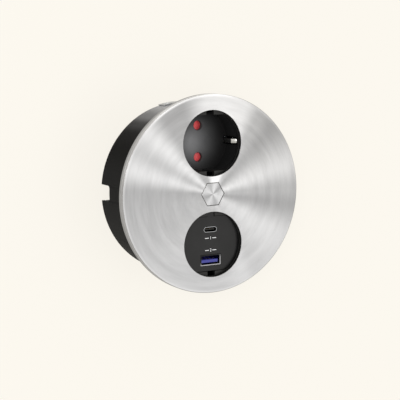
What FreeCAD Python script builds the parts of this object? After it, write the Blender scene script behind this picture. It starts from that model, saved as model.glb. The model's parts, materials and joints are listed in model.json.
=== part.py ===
import FreeCAD, Part
import math
import os

# Round worktop socket with a turning steel lid over an earthed mains socket and a USB charger.
# Lengths are in millimetres and angles in degrees. The seat on the worktop is z = 0,
# +Z points out of the worktop, and +Y runs from the centre towards the mains socket.

Vector = FreeCAD.Vector
UP = Vector(0, 0, 1)

# Lid and trim ring
flange_reach = 7.0
lid_height = 2.2
ring_height = 2.1
seam_gap = 0.3
steel_sheet = 0.8
rim_chamfer = 0.35
hexagon_flats = 13.6
hexagon_gap = 0.1
hexagon_chamfer = 0.25
carrier_lift = 0.1
carrier_floor = 0.5
fit_gap = 0.2

# Lid bearing
spindle_radius = 5.0
running_gap = 0.05
bush_wall = 2.0
bush_length = 9.0
spindle_tail = 1.4
spindle_chamfer = 0.45
spring_washer_radius = 8.0
spring_washer_sheet = 0.5
spring_washer_height = 1.1
retainer_sheet = 1.0
retainer_radius = 7.6
retainer_mouth = 60.0
groove_depth = 0.9
stop_wall = 0.65
stop_width = 1.4
stop_half_angle = 8.0
stop_rest_angle = -45.0
stop_reach = 2.7
stop_play = 0.5
lid_turn = 90.0

# Openings over the two modules
opening_radius = 19.5
flat_inset = 3.0
centre_bridge = 3.7
key_width = 5.0
ledge_depth = 2.6

# Housing
module_clearance = 0.9
rear_space = 2.9
housing_wall = 2.0
deck_thickness = 2.6
deck_lip = 1.0
rib_width = 1.4
rib_height = 4.0
flange_thickness = 1.3
seal_inset = 3.3
seal_width = 2.4
seal_thickness = 0.8
glide_inset = 2.5
glide_width = 2.5
glide_gap = 0.05
outlet_width = 9.6
outlet_corner = 2.0
outlet_inset = 7.0

# Screws, posts and pilot holes
post_radius = 3.3
pilot_radius = 1.25
pilot_depth = 8.0
screw_radius = 1.2
screw_clearance = 1.7
screw_head_radius = 2.7
screw_head_height = 1.9
slot_width = 0.6
slot_depth = 0.9
tip_gap = 1.0
cover_post_inset = 12.0
cover_post_y = 22.0
ear_post_gap = 0.8
ear_depth = 7.0
ear_thickness = 2.0
ear_half_width = 4.0
ear_end_round = 3.0

# Mains module
recess_depth = 17.5
cup_wall = 1.4
cup_floor = 2.5
pin_pitch = 19.0
pin_length = 19.0
pin_hole_radius = 2.75
pin_hole_chamfer = 0.4
skirt_length = 3.0
shutter_sheet = 1.6
shutter_gap = 0.1
shutter_lap = 0.95
shutter_half_angle = 20.5
shutter_hub_radius = 4.0
shutter_pivot_radius = 2.0
shutter_pivot_length = 1.7
shutter_ramp = 0.9
spring_sheet = 0.4
spring_width = 1.2
spring_tip_radius = 9.0
spring_tip_turn = 5.5
spring_bend_gap = 1.4
spring_bend_turn = 17.0
spring_seat_turn = 30.0
base_gap = 0.2
base_floor = 1.2
base_screw_reach = 11.0
base_screw_angle = 25.0
base_screw_boss = 2.5
base_pilot_depth = 1.6
pocket_x = 8.4
pocket_y = 6.4
contact_sheet = 0.6
contact_width = 5.0
contact_grip = 2.6
contact_mouth = 3.5
contact_foot = 3.2
contact_tail_reach = 3.6
contact_tail_width = 4.0
earth_sheet = 0.8
earth_width = 3.8
earth_slot = 4.6
earth_gap = 0.3
earth_tip_outset = 1.1
earth_tip_depth = 5.9
earth_bulge_inset = 1.8
earth_bulge_rise = 9.1
earth_foot_inset = 1.1

# USB module
usb_face_depth = 3.2
usb_face_flange = 2.0
usb_gap = 0.15
usb_c_y = 8.5
usb_c_width = 9.0
usb_c_height = 3.3
usb_a_y = -9.85
usb_a_width = 13.2
usb_a_height = 5.9
usb_lip = 0.3
usb_shell_sheet = 0.35
usb_port_depth = 13.6
usb_port_set_back = 0.15
usb_tongue_set_back = 1.4
usb_a_tongue_width = 11.2
usb_a_tongue_height = 1.8
usb_a_tongue_shift = -0.8
usb_c_tongue_width = 6.7
usb_c_tongue_height = 0.7
usb_case_wall = 1.3
usb_case_bottom = 34.0
board_sheet = 1.6
board_gap = 0.4
lead_slot_height = 4.0
board_standoff = 1.1
transformer_x = 15.0
transformer_y = 13.0
transformer_height = 11.0
core_limb = 3.2
winding_reach = 1.6
capacitor_radius = 4.0
capacitor_height = 10.0
header_pin = 0.64
header_pitch = 2.54
header_count = 4

# Mains inlet
block_half_x = 6.0
block_half_y = 16.0
block_height = 12.0
block_rise = 1.0
pole_pitch = 8.0
pole_bore = 2.2
pole_screw_radius = 1.8
pole_screw_x = 3.0
block_corner = 0.6
clamp_inset = 8.0
clamp_gap = 0.3
clamp_post_y = 9.0
clamp_half_x = 3.7
clamp_corner = 3.0
clamp_bar = 2.6
cable_space = 6.0

# Back cover
cover_sheet = 1.8
cover_inset = 0.5
cover_gap = 0.3
ledge_width = 1.3
ledge_height = 1.5
countersink_radius = 2.9

# Spring clips on the housing wall
clip_sheet = 0.8
clip_half_angle = 14.0
clip_pad_height = 8.3
clip_tongue_half = 6.0
clip_tip_round = 3.0
clip_tongue_length = 24.0
clip_lean = 4.1
clip_gap = 0.1
rivet_radius = 1.2
rivet_head_radius = 2.2
rivet_head = 0.35
rivet_angle = 10.0

# How far a cutting tool reaches past a face, and what counts as equal
over = 1.0
tiny = 0.001

# Radii and places worked out from the sizes above, from the modules outwards
opening_flat = opening_radius - flat_inset
opening_offset = hexagon_flats / 2 + centre_bridge + opening_radius
cup_radius = opening_radius + cup_wall
cup_flat = opening_flat + cup_wall
cup_corner = math.sqrt(cup_radius ** 2 - cup_flat ** 2)
wall_inside = math.hypot(cup_corner, opening_offset + cup_flat) + module_clearance
housing_radius = wall_inside + housing_wall
deck_radius = wall_inside + deck_lip
lid_radius = housing_radius + flange_reach
carrier_radius = lid_radius - steel_sheet - fit_gap
seal_radius = housing_radius + seal_inset
glide_radius = housing_radius + glide_inset
bush_radius = spindle_radius + running_gap + bush_wall
stop_radius = bush_radius + stop_wall + fit_gap + stop_width / 2
cover_post_x = wall_inside - cover_post_inset
ear_screw_x = cup_radius + post_radius + ear_post_gap
clamp_x = wall_inside - clamp_inset
block_x = clamp_x - clamp_half_x - clamp_gap - block_half_x
block_post_y = block_half_y - post_radius - fit_gap
shutter_reach = pin_pitch / 2 + pin_hole_radius + shutter_lap
spring_bend_radius = shutter_reach + spring_bend_gap
contact_tail = cup_radius + contact_tail_reach

# Levels worked out from the sizes above
lid_bottom = ring_height + seam_gap
lid_top = lid_bottom + lid_height
plate_under = lid_top - steel_sheet
carrier_bottom = lid_bottom + carrier_lift
hexagon_seat = carrier_bottom + carrier_floor
deck_top = lid_top - ledge_depth
deck_bottom = deck_top - deck_thickness
bush_bottom = deck_bottom - bush_length
washer_bottom = bush_bottom - spring_washer_height
retainer_bottom = washer_bottom - retainer_sheet
spindle_end = retainer_bottom - spindle_tail
floor_top = lid_top - recess_depth
floor_bottom = floor_top - cup_floor
shutter_top = floor_bottom - shutter_gap
shutter_bottom = shutter_top - shutter_sheet
base_top = shutter_bottom - base_gap
pocket_bottom = floor_top - pin_length - base_gap
base_bottom = pocket_bottom - base_floor
base_screw_seat = base_bottom + screw_head_height + fit_gap
earth_run = floor_bottom - earth_gap - earth_sheet / 2
ear_top = -ear_depth
ear_bottom = ear_top - ear_thickness
usb_face = lid_top - usb_face_depth
usb_case_top = deck_bottom - usb_face_flange
power_board_top = usb_case_wall + board_standoff + board_sheet - usb_case_bottom
cover_front = min(base_bottom - earth_sheet, -usb_case_bottom) - rear_space
cover_rear = cover_front - cover_sheet
housing_rear = cover_rear - cover_inset
block_bottom = cover_front + block_rise
block_top = block_bottom + block_height
block_screw_seat = block_bottom + screw_head_height + fit_gap
pole_centre = block_bottom + block_height / 2
clamp_bar_bottom = cover_front + clamp_gap
clamp_bar_top = clamp_bar_bottom + clamp_bar
clamp_top = clamp_bar_top + cable_space
clamp_screw_seat = clamp_bar_bottom + screw_head_height + fit_gap


def cylinder(radius, low, high, x=0.0, y=0.0):
    return Part.makeCylinder(radius, high - low, Vector(x, y, low), UP)


def cone(radius_low, radius_high, low, high, x=0.0, y=0.0):
    return Part.makeCone(radius_low, radius_high, high - low, Vector(x, y, low), UP)


def block(x_low, x_high, y_low, y_high, low, high):
    return Part.makeBox(x_high - x_low, y_high - y_low, high - low, Vector(x_low, y_low, low))


def ring(inner, outer, low, high, x=0.0, y=0.0):
    return cylinder(outer, low, high, x, y).cut(cylinder(inner, low, high, x, y))


def join(shapes):
    if len(shapes) == 1:
        return shapes[0]
    return shapes[0].multiFuse(shapes[1:]).removeSplitter()


def cut_all(shape, tools):
    return shape.cut(Part.makeCompound(tools)) if tools else shape


def revolved(points):
    """A solid of revolution about Z from (radius, height) points."""
    corners = [Vector(radius, 0, height) for radius, height in points]
    outline = Part.makePolygon(corners + [corners[0]])
    return Part.Face(outline).revolve(Vector(0, 0, 0), UP, 360)


def prism(points, low, high):
    """An upright prism over a closed outline of (x, y) points."""
    corners = [Vector(x, y, low) for x, y in points]
    outline = Part.makePolygon(corners + [corners[0]])
    return Part.Face(outline).extrude(Vector(0, 0, high - low))


def polar(radius, angle):
    return radius * math.cos(math.radians(angle)), radius * math.sin(math.radians(angle))


def hexagon(flats, low, high):
    """A hexagonal prism with flats towards +Y and -Y."""
    corner = flats / math.sqrt(3)
    return prism([polar(corner, 60 * side) for side in range(6)], low, high)


def sector(inner, outer, start, stop, low, high):
    """A curved bar about Z between two angles."""
    swept = Part.makeCylinder(outer, high - low, Vector(0, 0, low), UP, stop - start)
    swept.rotate(Vector(0, 0, 0), UP, start)
    return swept.cut(cylinder(inner, low, high))


def round_edges(shape, radius, height):
    """The shape's circular edges of one radius at one height."""
    found = []
    for edge in shape.Edges:
        curve = edge.Curve
        if curve.TypeId == "Part::GeomCircle":
            if abs(curve.Radius - radius) < tiny and abs(curve.Center.z - height) < tiny:
                found.append(edge)
    return found


def straight_edges(shape, direction, x=None, z=None):
    """The shape's straight edges along a direction, at one x or one z where that is given."""
    found = []
    for edge in shape.Edges:
        box = edge.BoundBox
        along = abs(edge.tangentAt(edge.FirstParameter).dot(direction)) > 1 - tiny
        at_x = x is None or abs(box.Center.x - x) < tiny
        at_z = z is None or abs(box.Center.z - z) < tiny
        if along and at_x and at_z:
            found.append(edge)
    return found


def rounded_block(half_x, half_y, corner, low, high, x=0.0, y=0.0):
    """An upright block with rounded vertical edges, centred on (x, y)."""
    body = block(x - half_x, x + half_x, y - half_y, y + half_y, low, high)
    return body.makeFillet(corner, straight_edges(body, UP))


def strip_on_edge(points, sheet, low, high):
    """A strip standing on edge whose centre line runs through (x, y) points, with round bends."""
    pieces = []
    for (x0, y0), (x1, y1) in zip(points, points[1:]):
        run = block(0, math.hypot(x1 - x0, y1 - y0), -sheet / 2, sheet / 2, low, high)
        run.rotate(Vector(0, 0, 0), UP, math.degrees(math.atan2(y1 - y0, x1 - x0)))
        run.translate(Vector(x0, y0, 0))
        pieces.append(run)
    for x, y in points[1:-1]:
        pieces.append(cylinder(sheet / 2, low, high, x, y))
    return join(pieces)


def bent_strip(points, sheet, y_low, y_high):
    """A sheet-metal strip whose centre line runs through (x, z) points, with round bends."""
    strip = strip_on_edge(points, sheet, -y_high, -y_low)
    strip.rotate(Vector(0, 0, 0), Vector(1, 0, 0), 90)
    return strip


def module_outline(radius, flat, low, high):
    """The round outline with two flats that both modules share, centred on Z."""
    return cylinder(radius, low, high).common(block(-radius, radius, -flat, flat, low, high))


def key_slots(low, high, inner, outer):
    """The two key slots in the flats of an opening, centred on Z."""
    half = key_width / 2
    upper = block(-half, half, inner, outer, low, high)
    lower = block(-half, half, -outer, -inner, low, high)
    return [upper, lower]


def moved(shape, x, y, z=0.0):
    copy = shape.copy()
    copy.translate(Vector(x, y, z))
    return copy


def pan_screw(head_top, tip, x, y):
    """A slotted screw driven upwards from below: head_top is the seat of its head."""
    low = head_top - screw_head_height
    head = cylinder(screw_head_radius, low, head_top, x, y)
    shank = cylinder(screw_radius, head_top, tip, x, y)
    return join([head, shank]).cut(driver_slot(screw_head_radius, low, x, y))


def driver_slot(radius, low, x, y):
    half = slot_width / 2
    return block(x - radius, x + radius, y - half, y + half, low - over, low + slot_depth)


def lid_plate():
    """The turning steel cover: a thin disc with a turned-down rim."""
    inner = lid_radius - steel_sheet
    shell = revolved([
        (0, plate_under),
        (inner, plate_under),
        (inner, lid_bottom),
        (lid_radius, lid_bottom),
        (lid_radius, lid_top),
        (0, lid_top),
    ])
    shell = shell.makeChamfer(rim_chamfer, round_edges(shell, lid_radius, lid_top))
    low, high = plate_under - over, lid_top + over
    holes = [cylinder(opening_radius, low, high, 0, side * opening_offset) for side in (1, -1)]
    holes.append(hexagon(hexagon_flats, low, high))
    return cut_all(shell, holes)


def lid_carrier():
    """The moulded disc inside the cover, with the hexagon's pocket and the stop lug."""
    disc = cylinder(carrier_radius, carrier_bottom, plate_under)
    lug = sector(
        stop_radius - stop_width / 2,
        stop_radius + stop_width / 2,
        stop_rest_angle - stop_half_angle,
        stop_rest_angle + stop_half_angle,
        carrier_bottom - stop_reach,
        carrier_bottom + carrier_floor,
    )
    low = carrier_bottom - over
    hole = opening_radius + fit_gap
    tools = [cylinder(hole, low, lid_top, 0, side * opening_offset) for side in (1, -1)]
    tools.append(hexagon(hexagon_flats, hexagon_seat, lid_top))
    tools.append(cylinder(spindle_radius + running_gap, low, lid_top))
    return cut_all(join([disc, lug]), tools)


def hex_spindle():
    """The pivot: its hexagonal head is the hexagon in the lid's centre."""
    head = hexagon(hexagon_flats - 2 * hexagon_gap, hexagon_seat, lid_top)
    crown = [e for e in head.Edges if e.BoundBox.ZMin > lid_top - tiny]
    head = head.makeChamfer(hexagon_chamfer, crown)
    shank = cylinder(spindle_radius, spindle_end, hexagon_seat)
    shank = shank.makeChamfer(spindle_chamfer, round_edges(shank, spindle_radius, spindle_end))
    groove = ring(spindle_radius - groove_depth, spindle_radius + over, retainer_bottom, washer_bottom)
    return join([head, shank]).cut(groove)


def spring_washer():
    """The cone-shaped spring washer whose friction holds the lid where it is put."""
    inner = spindle_radius + fit_gap
    top = bush_bottom - running_gap
    return revolved([
        (inner, washer_bottom + running_gap),
        (inner, washer_bottom + running_gap + spring_washer_sheet),
        (spring_washer_radius, top),
        (spring_washer_radius, top - spring_washer_sheet),
    ])


def retaining_ring():
    """The open ring snapped into the spindle's groove."""
    low = retainer_bottom + running_gap
    high = washer_bottom - running_gap
    inner = spindle_radius - groove_depth + running_gap
    body = ring(inner, retainer_radius, low, high)
    corners = [(0, 0)] + [polar(2 * retainer_radius, side * retainer_mouth / 2) for side in (-1, 1)]
    return body.cut(prism(corners, low - over, high + over))


def trim_ring():
    """The fixed steel ring under the lid: a flat ring with a turned-down rim."""
    inner = lid_radius - steel_sheet
    body = revolved([
        (deck_radius + fit_gap, flange_thickness),
        (inner, flange_thickness),
        (inner, 0),
        (lid_radius, 0),
        (lid_radius, ring_height),
        (deck_radius + fit_gap, ring_height),
    ])
    return body.makeChamfer(rim_chamfer, round_edges(body, lid_radius, ring_height))


def glide_ring():
    """The low-friction ring that the lid's carrier runs on."""
    half = glide_width / 2
    return ring(glide_radius - half, glide_radius + half, ring_height, carrier_bottom - glide_gap)


def flange_seal():
    """The seal in the flange's groove, flush with the worktop."""
    half = seal_width / 2
    return ring(seal_radius - half, seal_radius + half, glide_gap, seal_thickness)


def housing():
    """The moulded can: wall, flange with its seal groove, cover ledge and cable outlet."""
    inner_ledge = wall_inside - ledge_width
    shell = revolved([
        (wall_inside, flange_thickness),
        (wall_inside, cover_front + ledge_height + ledge_width),
        (inner_ledge, cover_front + ledge_height),
        (inner_ledge, cover_front),
        (wall_inside, cover_front),
        (wall_inside, housing_rear),
        (housing_radius, housing_rear),
        (housing_radius, 0),
        (carrier_radius, 0),
        (carrier_radius, flange_thickness),
    ])
    half = (seal_width + 2 * glide_gap) / 2
    groove = ring(seal_radius - half, seal_radius + half, -over, seal_thickness)
    return cut_all(shell, [groove, cable_outlet()] + on_rivet_axes(rivet_radius, housing_wall + over))


def deck():
    """The plate under the lid: openings with flats, bearing bush, stop slot, rib, posts and saddle."""
    plate = join([
        cylinder(wall_inside - running_gap, deck_bottom, flange_thickness),
        cylinder(deck_radius, flange_thickness, deck_top),
    ])
    high = deck_bottom + over
    half = rib_width / 2
    added = [
        cylinder(bush_radius, bush_bottom, high),
        block(-cover_post_x, cover_post_x, -half, half, deck_bottom - rib_height, high),
        block(-clamp_x - half, -clamp_x + half, -clamp_post_y, clamp_post_y, clamp_top, high),
    ]
    removed = [cylinder(spindle_radius + running_gap, bush_bottom - over, deck_top + over)]
    for x, y, low, depth in deck_posts():
        added.append(cylinder(post_radius, low, high, x, y))
        removed.append(cylinder(pilot_radius, low - over, low + depth, x, y))
    removed += deck_openings()
    removed.append(stop_slot())
    return cut_all(join([plate] + added), removed)


def deck_posts():
    """Where each screw post stands: its x, y, lower end and pilot depth."""
    posts = [(x, y, cover_front, pilot_depth) for x, y in cover_posts()]
    posts += [(x, y, ear_top, deck_bottom - ear_top) for x, y in ear_screw_places()]
    for side in (1, -1):
        posts.append((-block_x, side * block_post_y, block_top, pilot_depth))
        posts.append((-clamp_x, side * clamp_post_y, clamp_top, pilot_depth))
    return posts


def ear_screw_places():
    return [(x * ear_screw_x, y * opening_offset) for x in (1, -1) for y in (1, -1)]


def deck_openings():
    """The two openings with their flats and key slots."""
    low, high = deck_bottom - over, deck_top + over
    hole = module_outline(opening_radius, opening_flat, low, high)
    opening = join([hole] + key_slots(low, high, opening_flat - over, opening_radius))
    return [moved(opening, 0, side * opening_offset) for side in (1, -1)]


def stop_slot():
    """The slot in the deck that ends the lid's turn at both ends."""
    reach = stop_half_angle + stop_play
    return sector(
        stop_radius - stop_width / 2 - fit_gap,
        stop_radius + stop_width / 2 + fit_gap,
        stop_rest_angle - reach,
        stop_rest_angle + lid_turn + reach,
        deck_bottom - over,
        deck_top + over,
    )


def cable_outlet():
    """The notch with rounded inner corners in the housing's rear edge, through its wall and ledge."""
    half = outlet_width / 2
    inside = ledge_width + over - wall_inside
    notch = block(-housing_radius - over, inside, -half, half, housing_rear - over, clamp_top)
    return notch.makeFillet(outlet_corner, straight_edges(notch, Vector(1, 0, 0), z=clamp_top))


def ears():
    """The two screw ears of a module, centred on Z."""
    parts = []
    for side in (1, -1):
        inner = cup_radius - cup_wall / 2
        outer = ear_screw_x + post_radius
        low_x, high_x = sorted((side * inner, side * outer))
        ear = block(low_x, high_x, -ear_half_width, ear_half_width, ear_bottom, ear_top)
        parts.append(ear.makeFillet(ear_end_round, straight_edges(ear, UP, x=side * outer)))
    return parts


def ear_holes():
    low, high = ear_bottom - over, ear_top + over
    return [cylinder(screw_clearance, low, high, side * ear_screw_x, 0) for side in (1, -1)]


def mains_insert():
    """The round recess of the mains socket with its flats, key slots, floor and clip windows."""
    skirt_bottom = floor_bottom - skirt_length
    outer = module_outline(cup_radius, cup_flat, skirt_bottom, deck_bottom)
    above, below = deck_bottom + over, floor_bottom - over
    recess = module_outline(opening_radius, opening_flat, floor_top, above)
    chamber = module_outline(opening_radius, opening_flat, skirt_bottom - over, floor_bottom)
    cup = cut_all(outer, [recess, chamber])
    pivot_end = floor_bottom - shutter_pivot_length
    bosses = [cylinder(shutter_pivot_radius, pivot_end, floor_bottom + over)]
    removed = key_slots(floor_top, above, opening_flat - over, cup_flat + over)
    mouth = pin_hole_radius + pin_hole_chamfer
    window_low = earth_run - earth_sheet
    half = earth_slot / 2
    foot = opening_radius - earth_foot_inset
    for side in (1, -1):
        x, y = polar(side * base_screw_reach, base_screw_angle)
        bosses.append(cylinder(base_screw_boss, base_top, floor_bottom + over, x, y))
        removed.append(cylinder(pilot_radius, base_top - over, floor_bottom + base_pilot_depth, x, y))
        low_x, high_x = sorted((side * (foot - earth_sheet), side * (cup_radius + over)))
        removed.append(block(low_x, high_x, -half, half, window_low, above))
        hole_y = side * pin_pitch / 2
        removed.append(cylinder(pin_hole_radius, below, floor_top + over, 0, hole_y))
        removed.append(cone(pin_hole_radius, mouth, floor_top - pin_hole_chamfer, floor_top, 0, hole_y))
    cup = cut_all(join([cup] + bosses + ears()), removed + ear_holes())
    return moved(cup, 0, opening_offset)


def shutter():
    """The red turning shutter: two ramped blades that close the pin holes."""
    bore = shutter_pivot_radius + running_gap
    parts = [ring(bore, shutter_hub_radius, shutter_bottom, shutter_top)]
    for side in (1, -1):
        centre = side * 90
        start, stop = centre - shutter_half_angle, centre + shutter_half_angle
        blade = sector(bore, shutter_reach, start, stop, shutter_bottom, shutter_top)
        parts.append(blade.cut(ramp_tool(centre)))
    return moved(join(parts), 0, opening_offset)


def ramp_tool(centre):
    """The wedge taken off a blade, so that a pin pushing down turns the shutter."""
    inner = shutter_hub_radius + fit_gap
    run = shutter_reach * math.sin(math.radians(shutter_half_angle))
    corners = [
        Vector(inner, run, shutter_top),
        Vector(inner, run, shutter_top + over),
        Vector(inner, -run, shutter_top + over),
        Vector(inner, -run, shutter_top - shutter_ramp),
    ]
    wedge = Part.Face(Part.makePolygon(corners + [corners[0]])).extrude(Vector(shutter_reach, 0, 0))
    wedge.rotate(Vector(0, 0, 0), UP, centre)
    return wedge


def shutter_spring():
    """The leaf that turns the shutter back: bent once, standing on edge in the chamber."""
    tip = 90 + shutter_half_angle + spring_tip_turn
    bend = tip + spring_bend_turn
    seat_radius = opening_radius - fit_gap - spring_sheet
    points = [
        polar(spring_tip_radius, tip),
        polar(spring_bend_radius, bend),
        polar(seat_radius, bend + spring_seat_turn),
    ]
    low = (shutter_top + shutter_bottom - spring_width) / 2
    leaf = strip_on_edge(points, spring_sheet, low, low + spring_width)
    return moved(leaf, 0, opening_offset)


def contact_base():
    """The moulded block that holds the contacts under the shutter."""
    skirt_bottom = floor_bottom - skirt_length
    plug = module_outline(opening_radius - fit_gap, opening_flat - fit_gap, skirt_bottom - over, base_top)
    body = module_outline(cup_radius, cup_flat, base_bottom, skirt_bottom)
    half_x, half_y = pocket_x / 2, pocket_y / 2
    half_tail = contact_tail_width / 2 + fit_gap
    tail_top = pocket_bottom + contact_sheet + 2 * fit_gap
    above, below = base_top + over, base_bottom - over
    removed = []
    for side in (1, -1):
        y = side * pin_pitch / 2
        removed.append(block(-half_x, half_x, y - half_y, y + half_y, pocket_bottom, above))
        removed.append(block(-cup_radius - over, 0, y - half_tail, y + half_tail, pocket_bottom, tail_top))
        x, y = polar(side * base_screw_reach, base_screw_angle)
        removed.append(cylinder(screw_clearance, below, above, x, y))
        removed.append(cylinder(screw_head_radius + fit_gap, below, base_screw_seat, x, y))
    return moved(cut_all(join([body, plug]), removed), 0, opening_offset)


def base_screws():
    screws = []
    for side in (1, -1):
        x, y = polar(side * base_screw_reach, base_screw_angle)
        screw = pan_screw(base_screw_seat, floor_bottom + base_pilot_depth - tip_gap, x, y)
        screws.append(moved(screw, 0, opening_offset))
    return Part.makeCompound(screws)


def pin_contact(side):
    """A sprung double-leaf contact for one pin, with the tail that the lead is fixed to."""
    y = side * pin_pitch / 2
    foot = pocket_bottom + contact_sheet / 2
    grip_z = base_top - contact_width
    mouth_z = base_top - contact_sheet
    points = [
        (-contact_mouth, mouth_z),
        (-contact_grip, grip_z),
        (-contact_foot, foot),
        (contact_foot, foot),
        (contact_grip, grip_z),
        (contact_mouth, mouth_z),
    ]
    leaves = bent_strip(points, contact_sheet, y - contact_width / 2, y + contact_width / 2)
    half = contact_tail_width / 2
    low, high = pocket_bottom, pocket_bottom + contact_sheet
    tail = block(-contact_tail, contact_sheet - contact_foot, y - half, y + half, low, high)
    eye = cylinder(screw_radius, low - over, high + over, half - contact_tail, y)
    return moved(join([leaves, tail]).cut(eye), 0, opening_offset)


def earth_strap():
    """One bent strap: it crosses under the base and ends in the two earth clips."""
    upright = cup_radius + earth_gap + earth_sheet / 2
    foot = opening_radius - earth_foot_inset
    side = [
        (upright, base_bottom - earth_sheet / 2),
        (upright, earth_run),
        (foot, earth_run),
        (foot, floor_top),
        (opening_radius - earth_bulge_inset, floor_top + earth_bulge_rise),
        (opening_radius + earth_tip_outset, lid_top - earth_tip_depth),
    ]
    points = [(-x, z) for x, z in reversed(side)] + side
    strap = bent_strip(points, earth_sheet, -earth_width / 2, earth_width / 2)
    return moved(strap, 0, opening_offset)


def insert_screws():
    """Four screws that hang both modules from the deck."""
    tip = deck_bottom - tip_gap
    return Part.makeCompound([pan_screw(ear_bottom, tip, x, y) for x, y in ear_screw_places()])


def stadium(width, height, low, high, y):
    """An upright bar whose section is a rectangle with half-round ends."""
    straight = (width - height) / 2
    middle = block(-straight, straight, y - height / 2, y + height / 2, low, high)
    ends = [cylinder(height / 2, low, high, side * straight, y) for side in (1, -1)]
    return join([middle] + ends)


def usb_faceplate():
    """The face of the charger, with a key in the upper slot, seated under the deck."""
    inside = deck_bottom - over
    face = module_outline(opening_radius - usb_gap, opening_flat - usb_gap, inside, usb_face)
    half = key_width / 2 - usb_gap
    key = block(-half, half, opening_flat - over, opening_radius - usb_gap, inside, usb_face)
    flange = module_outline(cup_radius, cup_flat, usb_case_top, deck_bottom)
    low, high = usb_case_top - over, usb_face + over
    c_hole = stadium(usb_c_width + 2 * usb_gap, usb_c_height + 2 * usb_gap, low, high, usb_c_y)
    rim = usb_lip + usb_gap
    a_hole = rounded_block(usb_a_width / 2 + rim, usb_a_height / 2 + rim, usb_lip, low, high, 0, usb_a_y)
    return moved(cut_all(join([face, key, flange]), [c_hole, a_hole]), 0, -opening_offset)


def usb_case():
    """The charger's own can, hung from the deck by its ears."""
    wall = usb_case_wall
    body = module_outline(cup_radius, cup_flat, -usb_case_bottom, usb_case_top)
    low, high = wall - usb_case_bottom, usb_case_top + over
    hollow = module_outline(cup_radius - wall, cup_flat - wall, low, high)
    half = ear_half_width
    low = power_board_top
    lead_slot = block(-cup_radius - over, 2 * wall - cup_radius, -half, half, low, low + lead_slot_height)
    body = cut_all(body, [hollow, lead_slot])
    return moved(cut_all(join([body] + ears()), ear_holes()), 0, -opening_offset)


def usb_a_shell():
    """The steel shell of the larger port, with its flared lip."""
    top = usb_face - usb_port_set_back
    bottom = usb_face - usb_port_depth
    half_x, half_y = usb_a_width / 2, usb_a_height / 2
    tube = rounded_block(half_x, half_y, usb_lip, bottom, top, 0, usb_a_y)
    lip_x, lip_y = half_x + usb_lip, half_y + usb_lip
    lip = rounded_block(lip_x, lip_y, usb_lip, top - usb_shell_sheet, top, 0, usb_a_y)
    inner_x, inner_y = half_x - usb_shell_sheet, half_y - usb_shell_sheet
    inside = block(-inner_x, inner_x, usb_a_y - inner_y, usb_a_y + inner_y, bottom - over, top + over)
    return moved(join([tube, lip]).cut(inside), 0, -opening_offset)


def usb_a_tongue():
    """The coloured tongue of the larger port and the block that it grows from."""
    bottom = usb_face - usb_port_depth
    top = usb_face - usb_tongue_set_back
    half_x = usb_a_width / 2 - usb_shell_sheet - fit_gap / 2
    half_y = usb_a_height / 2 - usb_shell_sheet - fit_gap / 2
    root = block(-half_x, half_x, usb_a_y - half_y, usb_a_y + half_y, bottom, bottom + board_sheet)
    y = usb_a_y + usb_a_tongue_shift
    half_x, half_y = usb_a_tongue_width / 2, usb_a_tongue_height / 2
    tongue = block(-half_x, half_x, y - half_y, y + half_y, bottom, top)
    return moved(join([root, tongue]), 0, -opening_offset)


def usb_c_shell():
    """The seamless steel shell of the smaller port."""
    top = usb_face - usb_port_set_back
    bottom = usb_face - usb_port_depth
    walls = 2 * usb_shell_sheet
    outer = stadium(usb_c_width, usb_c_height, bottom, top, usb_c_y)
    inner = stadium(usb_c_width - walls, usb_c_height - walls, bottom - over, top + over, usb_c_y)
    return moved(outer.cut(inner), 0, -opening_offset)


def usb_c_tongue():
    """The thin tongue in the middle of the smaller port and its root."""
    bottom = usb_face - usb_port_depth
    top = usb_face - usb_tongue_set_back
    gap = usb_shell_sheet + fit_gap / 2
    root = stadium(usb_c_width - 2 * gap, usb_c_height - 2 * gap, bottom, bottom + board_sheet, usb_c_y)
    half_x, half_y = usb_c_tongue_width / 2, usb_c_tongue_height / 2
    tongue = block(-half_x, half_x, usb_c_y - half_y, usb_c_y + half_y, bottom, top)
    return moved(join([root, tongue]), 0, -opening_offset)


def board(top):
    gap = usb_case_wall + board_gap
    body = module_outline(cup_radius - gap, cup_flat - gap, top - board_sheet, top)
    return moved(body, 0, -opening_offset)


def usb_port_board():
    """The board that carries both ports."""
    return board(usb_face - usb_port_depth)


def usb_power_board():
    """The board that turns mains into the charging voltage."""
    return board(power_board_top)


def usb_transformer():
    """The ferrite core with its wound bobbin."""
    low = power_board_top
    half_x, half_y = transformer_x / 2, transformer_y / 2
    core = rounded_block(half_x, half_y, usb_lip, low, low + transformer_height)
    inner_x = half_x - core_limb
    window_low, window_high = low + core_limb, low + transformer_height - core_limb
    reach = half_y + winding_reach
    window = block(-inner_x, inner_x, -reach, reach, window_low, window_high)
    return moved(join([core.cut(window), window]), 0, -opening_offset)


def usb_capacitors():
    """Two standing capacitors beside the transformer."""
    low = power_board_top
    high = low + capacitor_height
    radius, y = capacitor_radius, -opening_offset
    cans = []
    for side in (1, -1):
        x = side * (transformer_x / 2 + radius + board_gap)
        can = cylinder(radius, low, high - board_gap, x, y)
        shoulder = cone(radius, radius - board_gap, high - board_gap, high, x, y)
        cans.append(join([can, shoulder]))
    return Part.makeCompound(cans)


def board_header():
    """The row of pins that joins the two boards."""
    half_pin, half_pitch = header_pin / 2, header_pitch / 2
    half_row = header_count * half_pitch
    y = -opening_offset + transformer_y / 2 + capacitor_radius + board_gap
    low = power_board_top
    high = usb_face - usb_port_depth - board_sheet
    parts = [block(-half_row, half_row, y - half_pitch, y + half_pitch, low, low + header_pitch)]
    for i in range(header_count):
        x = (i + 0.5) * header_pitch - half_row
        parts.append(block(x - half_pin, x + half_pin, y - half_pin, y + half_pin, low, high))
    return join(parts)


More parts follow.
